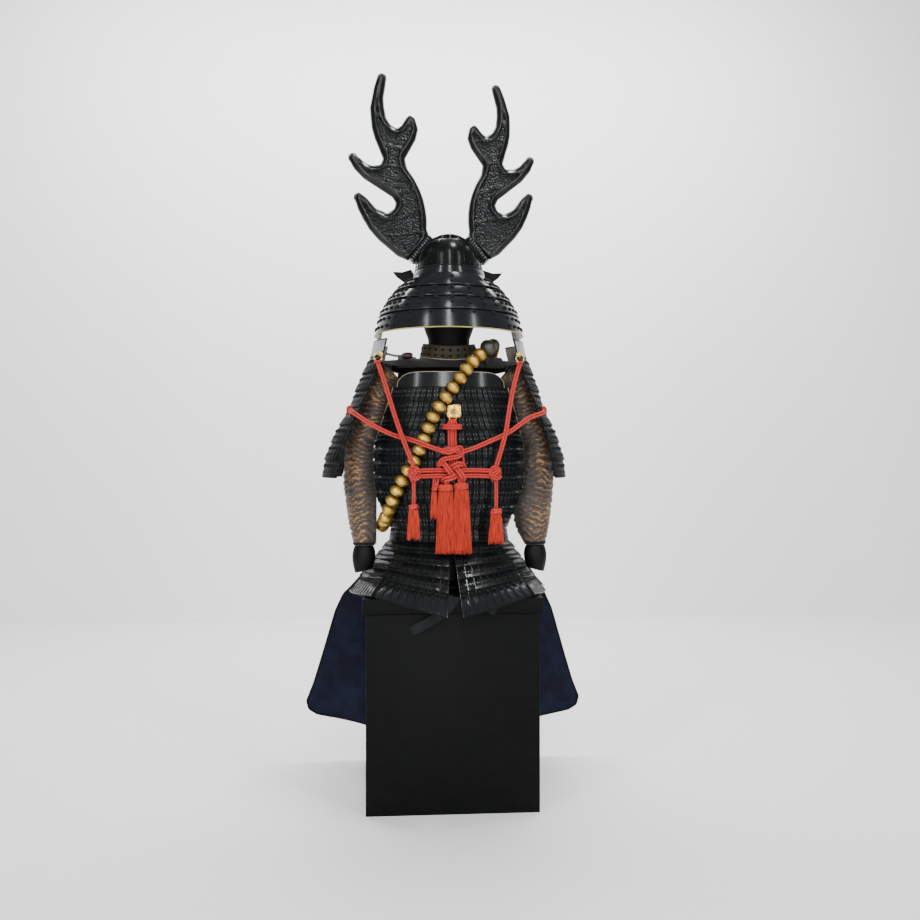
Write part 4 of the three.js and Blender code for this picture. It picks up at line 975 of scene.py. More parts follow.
def skirt_panel(name, node, start, end, hem_from, hem_to, bow, columns, side):
    def place(u, v):
        top = torso(math.radians(mix(start, end, u)), SKIRT_TOP)
        hem = mix(np.array(hem_from, float), np.array(hem_to, float), u)
        hem = hem + unit(from_middle(hem)) * bow * math.sin(math.pi * min(max(u, 0), 1))
        here = mix(top, hem, v)
        return point(side * here[0], here[1], here[2])

    wall, plates, silk = Shape(), Shape(), Shape()
    away = lambda p: point(p[0], p[1], 150)
    us = spread(0, 1, columns)
    wall.shell(place, spread(0, 1, 2 * columns), spread(0, 1, 5), 1.4, away)
    for row, (top, bottom) in enumerate(zip(SKIRT_STOPS[:-1], SKIRT_STOPS[1:])):
        last = row == len(SKIRT_STOPS) - 2
        strips(plates, place, us, top, mix(top, bottom, 0.99), away, 5.0 if name == "skirt_side" else 3.4)
        height = bottom - top
        if last:
            lacing(silk, place, us, [top + 0.14 * height], away, (6.0, 4.6, 3.0), 3.6)
        else:
            lacing(silk, place, us, [top + 0.62 * height], away, (4.6, 5.4, 3.4), 3.4, 0.2)
    piece(f"{node}_wall", wall, "silk", (node,))
    piece(f"{node}_scales", plates, "skirt_lacquer")
    piece(f"{node}_lacing", silk, "silk")


for name, start, end, paired, hem_from, hem_to, bow, columns in SKIRT_PANELS:
    if paired:
        for side, suffix in ((1, "right"), (-1, "left")):
            skirt_panel(name, f"{name}_{suffix}", start, end, hem_from, hem_to, bow, columns, side)
    else:
        skirt_panel(name, name, start, end, hem_from, hem_to, bow, columns, 1)


# Helmet: ribbed bowl, band and four lames of the neck guard.
BOWL_BASE, BOWL_HEIGHT, BOWL_WIDE, BOWL_DEEP = 1379, 102, 90, 112
BOWL_RIBS = 16


def bowl_place(u, v):
    polar = math.pi / 2 * max(v, 0.02)
    return point(
        BOWL_WIDE * math.sin(polar) * math.sin(u), -BOWL_DEEP * math.sin(polar) * math.cos(u),
        BOWL_BASE + (BOWL_HEIGHT - 0.6) * math.cos(polar),
    )


def from_bowl(p):
    return point(p[0], p[1], p[2] - BOWL_BASE + 30)


bowl = Shape()
outer = [[bowl_place(u, v) for u in full_turn(96)[:-1]] for v in spread(0.02, 1, 28)]
inner = [[p * point(0.97, 0.97, 1) - point(0, 0, 2.4) for p in row] for row in outer]
bowl.closed_wall(outer, inner, True)
piece("helmet_bowl", bowl, "bowl", ("helmet_bowl",))
ribs, rivets = Shape(), Shape()
for i in range(BOWL_RIBS):
    turn = 2 * math.pi * i / BOWL_RIBS
    rib_stops = [(turn, v) for v in spread(0.16, 0.985, 24)]
    ribs.tube(lifted(bowl_place, rib_stops, from_bowl, 0.25), 1.1, 6, from_bowl)
    middle = turn + math.pi / BOWL_RIBS
    for v in (0.42, 0.93):
        rivets.press(SMALL_ROUND, bowl_place, middle, v, from_bowl, (2.3, 2.3, 1.6), 0.3)
piece("helmet_ribs", ribs, "bowl")
piece("helmet_rivets", rivets, "silk")
crown = Shape()
crown.shell(bowl_place, full_turn(64)[:-1], spread(0.02, 0.44, 12), 0.8, from_bowl, around=True)
for radius, height, z in ((12, 2.0, 1479), (8, 2.6, 1480.2)):
    size = (radius, radius * 1.1, height)
    crown.stamp(ROUND, point(0, 0, z), point(1, 0, 0), point(0, 1, 0), point(0, 0, 1), size)
piece("helmet_crown", crown, "crown")


def cone_of(top, bottom, top_wide, top_deep, low_wide, low_deep, swell=0.0):
    """Flared band of the helmet, round or open at the face."""

    def place(u, v):
        belly = swell * math.sin(math.pi * min(max(v, 0), 1))
        wide, deep = mix(top_wide, low_wide, v) + belly, mix(top_deep, low_deep, v) + belly
        return point(wide * math.sin(u), -deep * math.cos(u), mix(top, bottom, v))

    return place


def rolled(place, us, v, away, lift, radius, finish, name):
    """Round bead along an edge at v."""
    edge = Shape()
    edge.tube(lifted(place, [(u, v) for u in us], away, lift), radius, 8, away)
    return piece(name, edge, finish)


band_place = cone_of(1378.7, 1352, 90.4, 112.4, 98, 120, 1.0)
band = Shape()
band.shell(band_place, full_turn(128)[:-1], spread(0, 1, 8), 2.4, from_middle, around=True)
piece("helmet_band", band, "lacquer", ("helmet_band",))
rolled(band_place, full_turn(128), 0.03, from_middle, 2.6, 1.3, "silk", "helmet_band_top_line")
rolled(band_place, full_turn(128), 0.97, from_middle, 2.4, 1.4, "lacquer", "helmet_band_low_line")
# Lames of the neck guard: node, top, foot, and half sizes at the top and at the foot.
NECK_GUARD = [
    ("neck_lame_1", 1357, 1323, 99.8, 122.6, 146, 142), ("neck_lame_2", 1328, 1293, 135.5, 135.5, 167, 157),
    ("neck_lame_3", 1298, 1257, 159.7, 151.1, 186, 174), ("neck_lame_4", 1262, 1206, 180.2, 168.7, 197, 194),
]
GUARD_HALF = math.radians(112)
# Lacing knots of each lame: angles at the middle and shares of its height.
GUARD_KNOTS = [
    ([0], [0.3, 0.7]), ([-34, -17, 0, 17, 34], [0.35, 0.75]), ([-40, -27, -14, 0, 14, 27, 40], [0.25, 0.6]),
    ([-34, -17, 0, 17, 34], [0.22]),
]
SIDE_KNOTS = [50, 58, 66, 74, 82, 90, 98, 106]
for (name, *form), (middles, heights) in zip(NECK_GUARD, GUARD_KNOTS):
    place = cone_of(*form, 1.2)
    lame = Shape()
    lame.shell(place, spread(-GUARD_HALF, GUARD_HALF, 120), spread(0, 1, 10), 2.0, from_middle)
    piece(name, lame, "lacquer", (name,))
    last = name == "neck_lame_4"
    rolled(
        place, spread(-GUARD_HALF, GUARD_HALF, 120), 0.985, from_middle, 2.2, 1.5,
        "rim" if last else "lacquer", f"{name}_edge",
    )
    knots = Shape()
    stops = [(degrees, v) for degrees in middles for v in heights]
    stops += [(side * degrees, v) for side in (-1, 1) for degrees in SIDE_KNOTS for v in (0.35, 0.72)]
    for degrees, v in stops:
        here, across, down, out = frame_at(place, math.radians(degrees), v, from_middle)
        for step in (-1, 1):
            knots.stamp(KNOT, here + across * 2.3 * step, across, down, out, (3.2, 4.8, 3.4), 2.8)
    piece(f"{name}_lacing", knots, "silk")

peak = Shape()
PEAK_HALF = math.radians(58)


def peak_place(u, v):
    reach = 52 * v * math.cos((u / PEAK_HALF) * math.pi * 0.42)
    wide, deep = 94.9 + reach, 116.9 + reach
    return point(wide * math.sin(u), deep * math.cos(u), 1374 - 20 * v)


peak.shell(peak_place, spread(-PEAK_HALF, PEAK_HALF, 48), spread(0, 1, 8), 2.4, upward)
piece("helmet_peak", peak, "lacquer", ("helmet_peak",))
rolled(peak_place, spread(-PEAK_HALF, PEAK_HALF, 60), 0.98, upward, 1.2, 2.0, "lacquer", "helmet_peak_edge")
for name in ("left", "right"):
    remeshed(f"turnback_{name}", f"turnback_{name}", "matte_lacquer", 1.3, 3)


# Antlers: outline of the left one round its root. The right one is smaller and leans in.
ANTLER_ROOT = (-75, 1441)
ANTLER_OUTLINE = [
    (-34, -28), (-62, -16), (-81, 0), (-113, 27), (-137, 54), (-153, 81), (-166, 107), (-175, 134),
    (-167, 150), (-145, 134), (-121, 107), (-89, 93), (-70, 107), (-65, 124), (-75, 141), (-107, 161),
    (-150, 188), (-177, 215), (-191, 240), (-183, 252), (-165, 242), (-150, 228), (-129, 220),
    (-107, 224), (-99, 241), (-110, 269), (-121, 295), (-129, 322), (-132, 349), (-134, 376),
    (-129, 403), (-124, 430), (-116, 456), (-103, 468), (-94, 456), (-98, 430), (-102, 403),
    (-100, 376), (-94, 349), (-82, 331), (-63, 321), (-51, 330), (-39, 349), (-30, 358), (-17, 349),
    (-9, 322), (-16, 295), (-30, 269), (-45, 242), (-38, 215), (-19, 188), (-5, 161), (5, 134),
    (11, 107), (14, 81), (14, 54), (19, 40),
]
ANTLER_HALF = 17.0
ANTLER_RIM = 17.0
ANTLER_SWELL = 2.4
FIELD_FROM, FIELD_FADE, FIELD_SUNK = 12, 5, 3.0
ANTLER_TIPS = [(-167, 137), (-181, 243), (-104.5, 458), (-27, 344)]


def antler_points(flat, size, lean, side):
    """Points of the left antler's outline, set at the size and lean of either antler."""
    turn = math.radians(lean)
    return [
        (
            side * (ANTLER_ROOT[0] + size * (x * math.cos(turn) + z * math.sin(turn))),
            0.0,
            ANTLER_ROOT[1] + size * (z * math.cos(turn) - x * math.sin(turn)),
        )
        for x, z in flat
    ]


def edge_distance(points, line):
    """Distance of each point from a closed line, in the plane of the antler."""
    best = np.full(len(points), 1e9)
    for a, b in zip(line[:-1], line[1:]):
        run = b - a
        share = np.clip((points - a) @ run / max(run @ run, 1e-9), 0, 1)
        best = np.minimum(best, np.linalg.norm(points - a - share[:, None] * run, axis=1))
    return best


def inflate(line):
    """Gives an antler its round rim and tines, and marks the sunk field inside the rim."""

    def change(mesh):
        co = np.empty(len(mesh.vertices) * 3)
        mesh.vertices.foreach_get("co", co)
        co = co.reshape(-1, 3) / MM
        flat = co[:, (0, 2)]
        depth = edge_distance(flat, line[:, (0, 2)])
        rim = np.clip(depth / ANTLER_RIM, 0, 1)
        normals = np.empty(len(mesh.vertices) * 3)
        mesh.vertices.foreach_get("normal", normals)
        co[:, (0, 2)] += ANTLER_SWELL * (1 - rim)[:, None] * normals.reshape(-1, 3)[:, (0, 2)]
        field = np.clip((depth - FIELD_FROM) / FIELD_FADE, 0, 1)
        round_half = ANTLER_HALF * np.sqrt(np.maximum(1 - (1 - rim) ** 2, 0))
        half = round_half - FIELD_SUNK * field
        old_half = np.maximum(np.abs(co[:, 1]), 1e-6)
        co[:, 1] = np.clip(co[:, 1] / ANTLER_HALF, -1, 1) * half
        co[:, 1] = np.where(old_half > 9, np.sign(co[:, 1]) * half, co[:, 1])
        mesh.vertices.foreach_set("co", (co * MM).ravel())
        mark = mesh.attributes.new("field", "FLOAT", "POINT")
        mark.data.foreach_set("value", field)
        mesh.update()

    return change


for name, size, lean, side in (("left", 1.0, 0.0, 1), ("right", 0.935, 6.0, -1)):
    outline = spline(antler_points(ANTLER_OUTLINE, size, lean, side), closed=True, per_span=5)
    tips = [(tip, 11.0 * size) for tip in antler_points(ANTLER_TIPS, size, lean, side)]
    remeshed(f"antler_{name}", f"antler_{name}", "antler_lacquer", 2.4, 4, inflate(outline), tips)

# Ribbed collar at each antler's root.
COLLAR_SLOPE = math.radians(52.4)
COLLAR_RIBS = 11
for name, side in MIRRORED:
    along = point(side * math.cos(COLLAR_SLOPE), 0, math.sin(COLLAR_SLOPE))
    outward = point(-side * math.sin(COLLAR_SLOPE), 0, math.cos(COLLAR_SLOPE))
    root = point(side * ANTLER_ROOT[0], 0, ANTLER_ROOT[1])
    rings = []
    for step in range(COLLAR_RIBS * 8 + 1):
        share = step / (COLLAR_RIBS * 8)
        size = 0.74 + 0.32 * abs(math.sin(math.pi * COLLAR_RIBS * share)) ** 0.7
        middle = root + along * 84 * (share - 0.5)
        rings.append([
            middle + outward * 11.5 * size * math.cos(turn) + point(0, 23.5 * size * math.sin(turn), 0)
            for turn in full_turn(24)[:-1]
        ])
    coil = Shape()
    coil.grid(rings, True)
    coil.close_ends(24)
    piece(f"antler_collar_{name}", coil, "ribbed", (f"antler_collar_{name}",), 70)


# Shoulder guards that hang outside the arms.
SODE = [
    {"z": 1148, "out": 209, "rear": 172, "half": 92}, {"z": 1065, "out": 242, "rear": 205, "half": 104},
    {"z": 1014, "out": 256, "rear": 226, "half": 110}, {"z": 952, "out": 292, "rear": 252, "half": 114},
    {"z": 880, "out": 318, "rear": 270, "half": 118}, {"z": 830, "out": 322, "rear": 281, "half": 120},
]
SODE_ROWS = 7
SODE_TOP, SODE_FOOT = 1148, 830


def sode_point(side, u, z):
    drop = (SODE_TOP - z) / (SODE_TOP - SODE_FOOT)
    out, rear = column(SODE, "out", z, "z"), column(SODE, "rear", z, "z")
    half = column(SODE, "half", z, "z")
    return point(side * (out - (out - rear) * u * u - side * 14 * drop * 0.8), 12 + u * half, z)


RINGS = {"left": (-188, -94, 1141), "right": (180, -94, 1141)}
for name, side in SIDES:
    sideways = lambda p, side=side: point(side, 0, 0)
    guard_place = lambda u, v, side=side: sode_point(side, u, mix(SODE_TOP, SODE_FOOT, v))
    wall, plates, silk = Shape(), Shape(), Shape()
    wall.shell(guard_place, spread(-1, 1, 24), spread(0, 1, 2 * SODE_ROWS), 1.4, sideways)
    for row in range(SODE_ROWS):
        top, bottom = row / SODE_ROWS, (row + 1) / SODE_ROWS
        stops = arc_stops(guard_place, -1, 1, bottom, SCALE_PITCH)
        scales(plates, guard_place, stops, top, mix(top, bottom, 0.99), sideways, SCALE_RISE, 4.2)
        heights = [mix(top, bottom, 0.3), mix(top, bottom, 0.68)]
        lacing(silk, guard_place, stops, heights, sideways, (2.2, 5.4, 1.8), 4.0, 0.22)
        for u in (-1, 1):
            for v in (mix(top, bottom, 0.35), mix(top, bottom, 0.75)):
                silk.press(KNOT, guard_place, u * 0.985, v, sideways, (4.2, 6.0, 4.2), 2.0)
    piece(f"shoulder_guard_{name}_wall", wall, "silk", (f"shoulder_guard_{name}",))
    piece(f"shoulder_guard_{name}_scales", plates, "laced_side")
    piece(f"shoulder_guard_{name}_lacing", silk, "silk")

    def cap_place(u, v, side=side):
        here = sode_point(side, u, SODE_TOP)
        return point(here[0] - side * 10 * (1 - v), here[1], mix(1192, 1149.4, v))

    cap = Shape()
    cap.shell(cap_place, spread(-0.98, 0.98, 36), spread(0, 1, 6), 3.0, sideways)
    # Cap colour: black lacquer painted grey, as a painted reflection of the pale room.
    piece(f"guard_cap_{name}", cap, "painted_reflection_lacquer", (f"guard_cap_{name}",))
    cap_edge = Shape()
    border = [(u, 0.02) for u in spread(-0.97, 0.97, 30)] + [(0.97, v) for v in spread(0.1, 0.9, 5)]
    border += [(u, 0.98) for u in spread(0.97, -0.97, 30)] + [(-0.97, v) for v in spread(0.9, 0.02, 6)]
    cap_edge.tube(lifted(cap_place, border, sideways, 1.6), 2.4, 6, sideways, closed=True)
    piece(f"guard_cap_{name}_edge", cap_edge, "lacquer")
    x, y, z = RINGS[name]
    fitting = Shape()
    circle = [point(x + 10 * math.cos(t), y, z + 10 * math.sin(t)) for t in full_turn(32)]
    fitting.tube(np.array(circle), 1.9, 8, to_back, closed=True)
    stud_x = side * 175
    fitting.tube(np.array([(stud_x, -78.5, 1151.5), (x, y, z + 10)]), 2.4, 8)
    fitting.stamp(
        SMALL_ROUND, point(mix(stud_x, x, 0.45), mix(-78.5, y, 0.55), 1151.5), point(1, 0, 0), point(0, 0, 1),
        point(0, -1, 0), (7.5, 7.5, 3.0),
    )
    piece(f"guard_ring_{name}", fitting, "gilt_metal")


# Sleeves of gathered brocade. Each row is a ring: its middle, tilt and half sizes.
SLEEVE_X = [146, 165, 187, 200, 212, 237, 241, 243, 238, 232, 225]
SLEEVE_Y = [0, 0, 0, 0, 0, -3, -8, -16, -30, -44, -56]
SLEEVE_Z = [1104, 1098, 1063, 1020, 978, 925, 869, 816, 760, 706, 655]
SLEEVE_TILT = [45, 62, 36, 20, 14, 12, 4, 0, -6, -6, 0]
SLEEVE_WIDE = [44, 43, 41, 39, 36, 32, 33, 33, 31, 27, 22]
SLEEVE_INNER = [1, 1.1, 1.25, 1.3, 1.3, 1.38, 1.45, 1.58, 2.0, 2.1, 1.1]
SLEEVE_DEEP = [50, 50, 49, 47, 45, 40, 38, 36, 33, 28, 23]
CUFF_X, CUFF_Y = 225, 56
# The inner half keeps a gap to the body, passes the beads at the hip and enters the armhole.
BODY_GAP = 4.5
BEAD_REACH, BEADS_BELOW = 188, 800
ARMHOLE_LOW, ARMHOLE_ROOM = 930, 60


def sleeve_place(u, v):
    tilt = math.radians(smooth_column(SLEEVE_TILT, v))
    wide = smooth_column(SLEEVE_WIDE, v) * math.cos(u)
    wide *= smooth_column(SLEEVE_INNER, v) if wide < 0 else 1
    return point(
        -smooth_column(SLEEVE_X, v) - wide * math.cos(tilt),
        smooth_column(SLEEVE_Y, v) + smooth_column(SLEEVE_DEEP, v) * math.sin(u),
        smooth_column(SLEEVE_Z, v) + wide * math.sin(tilt),
    )


def gathers(u, v, seed):
    """Uneven crosswise gathers, finer towards the cuff."""
    turn = Vector((math.cos(u), math.sin(u), 0))
    drift = 1.5 * noise.noise(turn * 1.3 + Vector((0, 0, 5 * v + seed)))
    drift += 0.55 * noise.noise(turn * 3.1 + Vector((0, 0, 13 * v + seed)))
    gather = 1 - 2 * abs(math.sin(math.pi * (38 * v + drift)))
    small = noise.noise(turn * 6 + Vector((0, 0, 60 * v + seed)))
    folds = noise.noise(turn * 1.4 + Vector((0, 0, 9 * v + 3 * seed)))
    return 1.8 + 1.9 * gather + 1.2 * small + 1.8 * folds


def clear_of_body(p, gap, beads):
    """Holds the inner half of a sleeve clear of the laced rows, and of the beads at the left hip."""
    wide, deep = column(TORSO, "wide", p[2], "z"), column(TORSO, "deep", p[2], "z")
    reach = wide * max(1 - abs(p[1] / deep) ** (2 / TORSO_POWER), 0) ** (TORSO_POWER / 2) + gap
    if beads and p[2] < BEADS_BELOW:
        reach = max(reach, BEAD_REACH + gap)
    reach -= ARMHOLE_ROOM * min(max((p[2] - ARMHOLE_LOW) / 50, 0), 1)
    return point(min(p[0], -reach), p[1], p[2])


def sleeve_out(u_middle):
    return lambda p: point(p[0] - u_middle[0], p[1] - u_middle[1], 0)


sleeves = {}
for name, side in MIRRORED:
    seed = 2.0 if side > 0 else 9.0
    vs, us = spread(0, 1, 210), full_turn(60)[:-1]
    outer, inner, painted_shade_depths = [], [], []
    for v in vs:
        middle = (-smooth_column(SLEEVE_X, v), smooth_column(SLEEVE_Y, v))
        outer_row, inner_row = [], []
        for u in us:
            here, _, _, out = frame_at(sleeve_place, u, v, sleeve_out(middle))
            rise = gathers(u, v, seed)
            # Painted shade: the half that faces the body is lowered, so that it shows as darker brocade.
            painted_shade_depths.append(rise - 4.5 * min(max(-0.1 - math.cos(u), 0), 0.6))
            outside = clear_of_body(here + out * (2.0 + rise), BODY_GAP, side > 0)
            inside = clear_of_body(here + out * (0.2 + 0.4 * rise), BODY_GAP + 1.6, side > 0)
            outer_row.append(outside * point(side, 1, 1))
            inner_row.append(inside * point(side, 1, 1))
        outer.append(outer_row)
        inner.append(inner_row)
    shape = Shape()
    shape.closed_wall(outer, inner, True)
    sleeves[name] = piece(f"sleeve_{name}_cloth", shape, "brocade", (f"sleeve_{name}",), 180)
    # Painted light and shade per point: bright on the crests of the gathers, dark in the valleys and on the
    # inner half.
    painted_light_and_shade = np.clip((np.array(painted_shade_depths) + 1.2) / 6.4, 0, 1) ** 1.6
    mark = sleeves[name].data.attributes.new("ridge", "FLOAT", "POINT")
    mark.data.foreach_set("value", np.concatenate([painted_light_and_shade, np.zeros(len(painted_light_and_shade))]))

    cuff = Shape()

    def cuff_place(u, v, side=side):
        girth = 21 + 7 * math.sin(math.pi * min(max(v, 0), 1) ** 0.8)
        return point(
            side * (-CUFF_X - girth * math.cos(u)), -CUFF_Y + girth * math.sin(u),
            mix(653.9, 590 - 6 * math.cos(u), v),
        )

    cuff_away = lambda p, side=side: point(p[0] + side * CUFF_X, p[1] + CUFF_Y, 0)
    cuff.shell(cuff_place, spread(math.radians(-175), math.radians(85), 44), spread(0, 1, 14), 2.4, cuff_away)
    piece(f"hand_guard_{name}", cuff, "matte_lacquer", (f"hand_guard_{name}",))
    wrist = Shape()
    wrist_line = [
        point(side * (-CUFF_X - 25.5 * math.cos(t)), -CUFF_Y + 26 * math.sin(t), 660) for t in full_turn(36)
    ]
    wrist.tube(np.array(wrist_line), 4.0, 8, upward, closed=True)
    binding = piece(f"cuff_binding_{name}", wrist, "silk")


# Thigh apron: two cloth panels over the front edge of the lid, and the belt that carries them.
APRON_Y = [109.4, 153, 178, 208.1, 212, 219, 228, 240, 248, 250, 250, 250]
APRON_Z = [639.1, 594, 568, 538.6, 518, 490, 440, 320, 225, 172, 150, 140]
APRON_OUTER = [104, 152, 176, 213, 262, 292, 316, 352, 381, 401, 395, 368]
APRON_CURL = [34, 14, 6, 0, 0, 0, 0, 0, 0, 0, 0, 0]


def by_step(values, share):
    return float(np.interp(share * (len(values) - 1), range(len(values)), values))


def apron_place(u, v):
    z = by_step(APRON_Z, v)
    x = mix(10, by_step(APRON_OUTER, v), u)
    fall = min(max((540 - z) / 400, 0), 1)
    fold = 5 * fall * (1 - math.cos(u * 4 * math.pi))
    hem = 0.25 * max(0, 400 - x) * fall**2
    return point(x, by_step(APRON_Y, v) + fold - by_step(APRON_CURL, v) * (x / 100) ** 2, z - hem)


def to_front(_):
    return point(0, 1, 0.4)


for name, side in (("right", 1), ("left", -1)):
    seed = 5.0 if side > 0 else 12.0

    def crease(u, v, seed=seed):
        soft = noise.noise(Vector((2.4 * u, 3.2 * v, seed)))
        small = noise.noise(Vector((7 * u, 5 * v, seed + 4)))
        return (2.2 * soft + 0.9 * small) * min(1, 8 * max(v - 0.28, 0))

    shape = Shape()
    shape.shell(apron_place, spread(0, 1, 70), spread(0, 1, 120), 2.2, to_front, relief=crease, scale=(1, 1))
    shape.points = [(side * p[0], p[1], p[2]) for p in shape.points]
    apron = piece(f"thigh_apron_{name}_cloth", shape, "navy_cloth", (f"thigh_apron_{name}",), 70)
    border = [(1.0, v) for v in spread(0.2, 0.985, 60)] + [(u, 0.985) for u in spread(0.98, 0.02, 40)]
    border += [(0.0, v) for v in spread(0.985, 0.2, 60)]
    line = np.array([apron_place(u, v) + point(0, 1.0, 0) for u, v in border]) * point(side, 1, 1)
    binding = Shape()
    binding.tube(evenly(line, 220), 3.4, 8, to_front)
    border = piece(f"thigh_apron_{name}_binding", binding, "black_cloth")

BELT_HALF = math.radians(75)


def belt_place(u, v):
    return point(134 * math.sin(u), 109 * math.cos(u), mix(660, 641, v))


belt = Shape()
belt.shell(belt_place, spread(-BELT_HALF, BELT_HALF, 50), spread(0, 1, 4), 2.2, from_middle)
belt_cloth = piece("apron_belt_cloth", belt, "black_cloth", ("apron_belt",))


# String of large beads round the body.
BEAD_LOOP = [
    (105, -103, 1172), (77, -119, 1150), (55, -133, 1130), (20, -154, 1084), (-15, -159, 1037),
    (-47, -159, 989), (-69, -157, 935), (-93, -154, 880), (-125, -143, 827), (-148, -123, 779),
    (-165, -94, 737), (-174, -50, 712), (-178, 0, 702), (-170, 62, 708), (-130, 126, 742),
    (-70, 153, 800), (0, 161, 868), (62, 161, 945), (96, 156, 1020), (112, 155, 1075),
    (120, 143, 1120), (122, 112, 1155), (121, 62, 1168), (117, 8, 1171.5), (113, -50, 1172),
]
bead_line = spline(BEAD_LOOP, closed=True)
BEAD_SPACING = 30
bead_count = round(line_length(bead_line) / BEAD_SPACING)
bead_stops = evenly(bead_line, 2 * bead_count)
beads, great_bead, thread = Shape(), Shape(), Shape()
for i in range(bead_count):
    here = bead_stops[2 * i + 1]
    run = unit(bead_stops[2 * i + 2] - bead_stops[2 * i])
    across = unit(np.cross(run, from_middle(here)))
    size = (18.6, 18.6, 13.8)
    target = great_bead if i in (0, bead_count - 1) else beads
    if i == 0:
        size = (23.0, 23.0, 19.0)
    target.stamp(ROUND, here, across, np.cross(run, across), run, size)
thread.tube(evenly(bead_line, 200), 2.0, 6, from_middle, closed=True)
piece("beads", beads, "gilt_wood", ("bead_string",))
piece("great_bead", great_bead, "olive_wood")
piece("bead_thread", thread, "silk")


# Red cords, each a pair of braided strands side by side.
STRAND = 3.1
STRAND_FILL = 0.93  # Share of a strand's room that the strand takes.
CORDS = {
    "upper_cord_left": [
        (-188, -94, 1128.4), (-167, -116, 1063), (-145, -136, 990), (-128, -153, 940), (-111, -176, 895),
        (-98, -181, 863.2),
    ],
    "upper_cord_right": [
        (180, -94, 1128.4), (162, -112, 1070), (148, -128, 1005), (136, -146, 944), (124, -146, 900),
        (113, -145, 862.6),
    ],
    "middle_cord": [
        (-265, -62, 1007), (-247, -108, 996), (-205, -118, 968), (-150, -128, 941), (-122, -140, 933),
        (-99, -170, 926), (-76, -180, 917), (-45, -170, 906), (0, -157.6, 894), (40, -154, 902),
        (90, -146, 922), (150, -133, 950), (200, -122, 985), (238, -107, 999), (250.2, -60, 1008),
    ],
}
for node, route in CORDS.items():
    middle_line = evenly(spline(route), 60 if node == "middle_cord" else 40)
    for strand, side in (("inner", -1), ("outer", 1)):
        line = side_step(middle_line, to_back, side * STRAND)
        shape = Shape()
        shape.tube(line, STRAND * STRAND_FILL, 10)
        stands_for = (node,) if side < 0 else ()
        cord = piece(f"{node}_{strand}", shape, "red_braid", stands_for, 60)
        path = [tuple(c * MM for c in p) for p in line]
        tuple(path[0])


def pair(shape, route, closed=False, away=to_back, radius=STRAND, steps=24):
    """Two braided strands side by side along a route."""
    middle_line = evenly(spline(route, closed), steps)
    for side in (-1, 1):
        line = side_step(middle_line, away, side * radius, closed)
        shape.tube(line, radius * STRAND_FILL, 10, away, closed)


knot = Shape()
for x in (-6, 6):
    pair(knot, [(x, -146, 970), (x * 0.9, -149, 930), (x + 2, -152, 888), (x + 3, -155, 862)])
ring_route = [(-23, -149, 961), (0, -160, 960), (23, -149, 961), (0, -143, 963)]
for lift in (-3.2, 3.2):
    line = evenly(spline([(x, y, z + lift) for x, y, z in ring_route], True), 32)
    knot.tube(line, 3.4, 10, upward, True)
for x in (-12, -4, 4, 12):
    strand = spline([(x, -150, 958), (x * 0.8, -151, 970), (x * 0.35 + 2, -147, 980)])
    knot.tube(evenly(strand, 10), STRAND, 10)
# Top of the knot: the middle cord crosses over the hanging strands and turns back round them.
for route in (
    [(-28, -160, 895), (-14, -168, 904), (4, -170, 901), (17, -164, 894), (20, -155, 884)],
    [(-26, -162, 903), (-10, -169, 896), (8, -170, 905), (20, -164, 908), (23, -154, 899)],
    [(21, -158, 906), (24, -168, 894), (15, -171, 886), (-8, -168, 882), (-26, -163, 877), (-35, -158, 862)],
):
    pair(knot, route, steps=28)
for line in (
    [(-35, -158, 864), (-36, -152, 846), (-36, -158, 826), (-42, -160, 800)],
    [(25, -160, 892), (28, -158, 876), (26, -156, 858)],
):
    knot.tube(evenly(spline(line), 20), STRAND * STRAND_FILL, 10)
# Middle of the knot: four doubled lobes, each over the next and under the last.
for route in (
    [(-27, -152, 874), (-20, -165, 866), (-10, -170, 852), (-1, -164, 841), (4, -154, 834)],
    [(29, -152, 856), (25, -164, 866), (12, -170, 866), (0, -165, 860), (-7, -155, 856)],
    [(4, -154, 862), (11, -165, 855), (20, -171, 843), (27, -166, 830), (24, -156, 822)],
    [(-26, -153, 823), (-19, -165, 828), (-5, -170, 831), (8, -165, 837), (15, -155, 842)],
):
    pair(knot, route, steps=24, radius=3.7)
for x, low in ((-8, -14), (17, 19)):
    pair(knot, [(x, -158, 836), (low, -163, 824), (low, -161, 808)], steps=12)
LOOP_ENDS = ((-96, -177), (110, -142))
for x, front in LOOP_ENDS:
    for level in (850, 836):
        pair(knot, [
            (0, -155, level), (x * 0.25, -160, level + 1), (x * 0.6, mix(-160, front, 0.6), level + 1),
            (x, front, level - 1),
        ], steps=30, radius=2.9)
    for turns in (
        [(-10, -2, 846), (-5, -5, 857), (7, -6, 852), (11, -1, 840)],
        [(11, -2, 856), (3, -11, 847), (-7, -10, 836), (-4, -2, 826)],
        [(-12, -2, 852), (-9, -8, 838), (5, -9, 831), (13, -3, 838)],
    ):
        pair(knot, [(x + dx, front + dy, z) for dx, dy, z in turns])
piece("great_knot_braid", knot, "red_braid", ("great_knot",), 60)

# Cow hitches on the guard rings and where the middle cord meets the guards.
hitches = Shape()
for name, (x, y_ring, z) in RINGS.items():
    for step in (-5, 0, 5):
        circle = [
            point(x + step + 3.6 * math.cos(t), y_ring + 4.6 * math.sin(t), z - 11 + 0.3 * step)
            for t in full_turn(16)
        ]
        hitches.tube(np.array(circle), 2.4, 8, upward, closed=True)
for x, y_end, z in ((-262, -66, 1006), (247, -66, 1007)):
    for tilt in (-1, 1):
        circle = [
            point(x + 6 * math.cos(t), y_end - 2 + 3.5 * math.sin(2 * t), z + 8 * math.sin(t) + tilt * 2)
            for t in full_turn(20)
        ]
        hitches.tube(np.array(circle), 2.6, 8, to_back, closed=True)
piece("cord_hitches", hitches, "red_braid", (), 60)


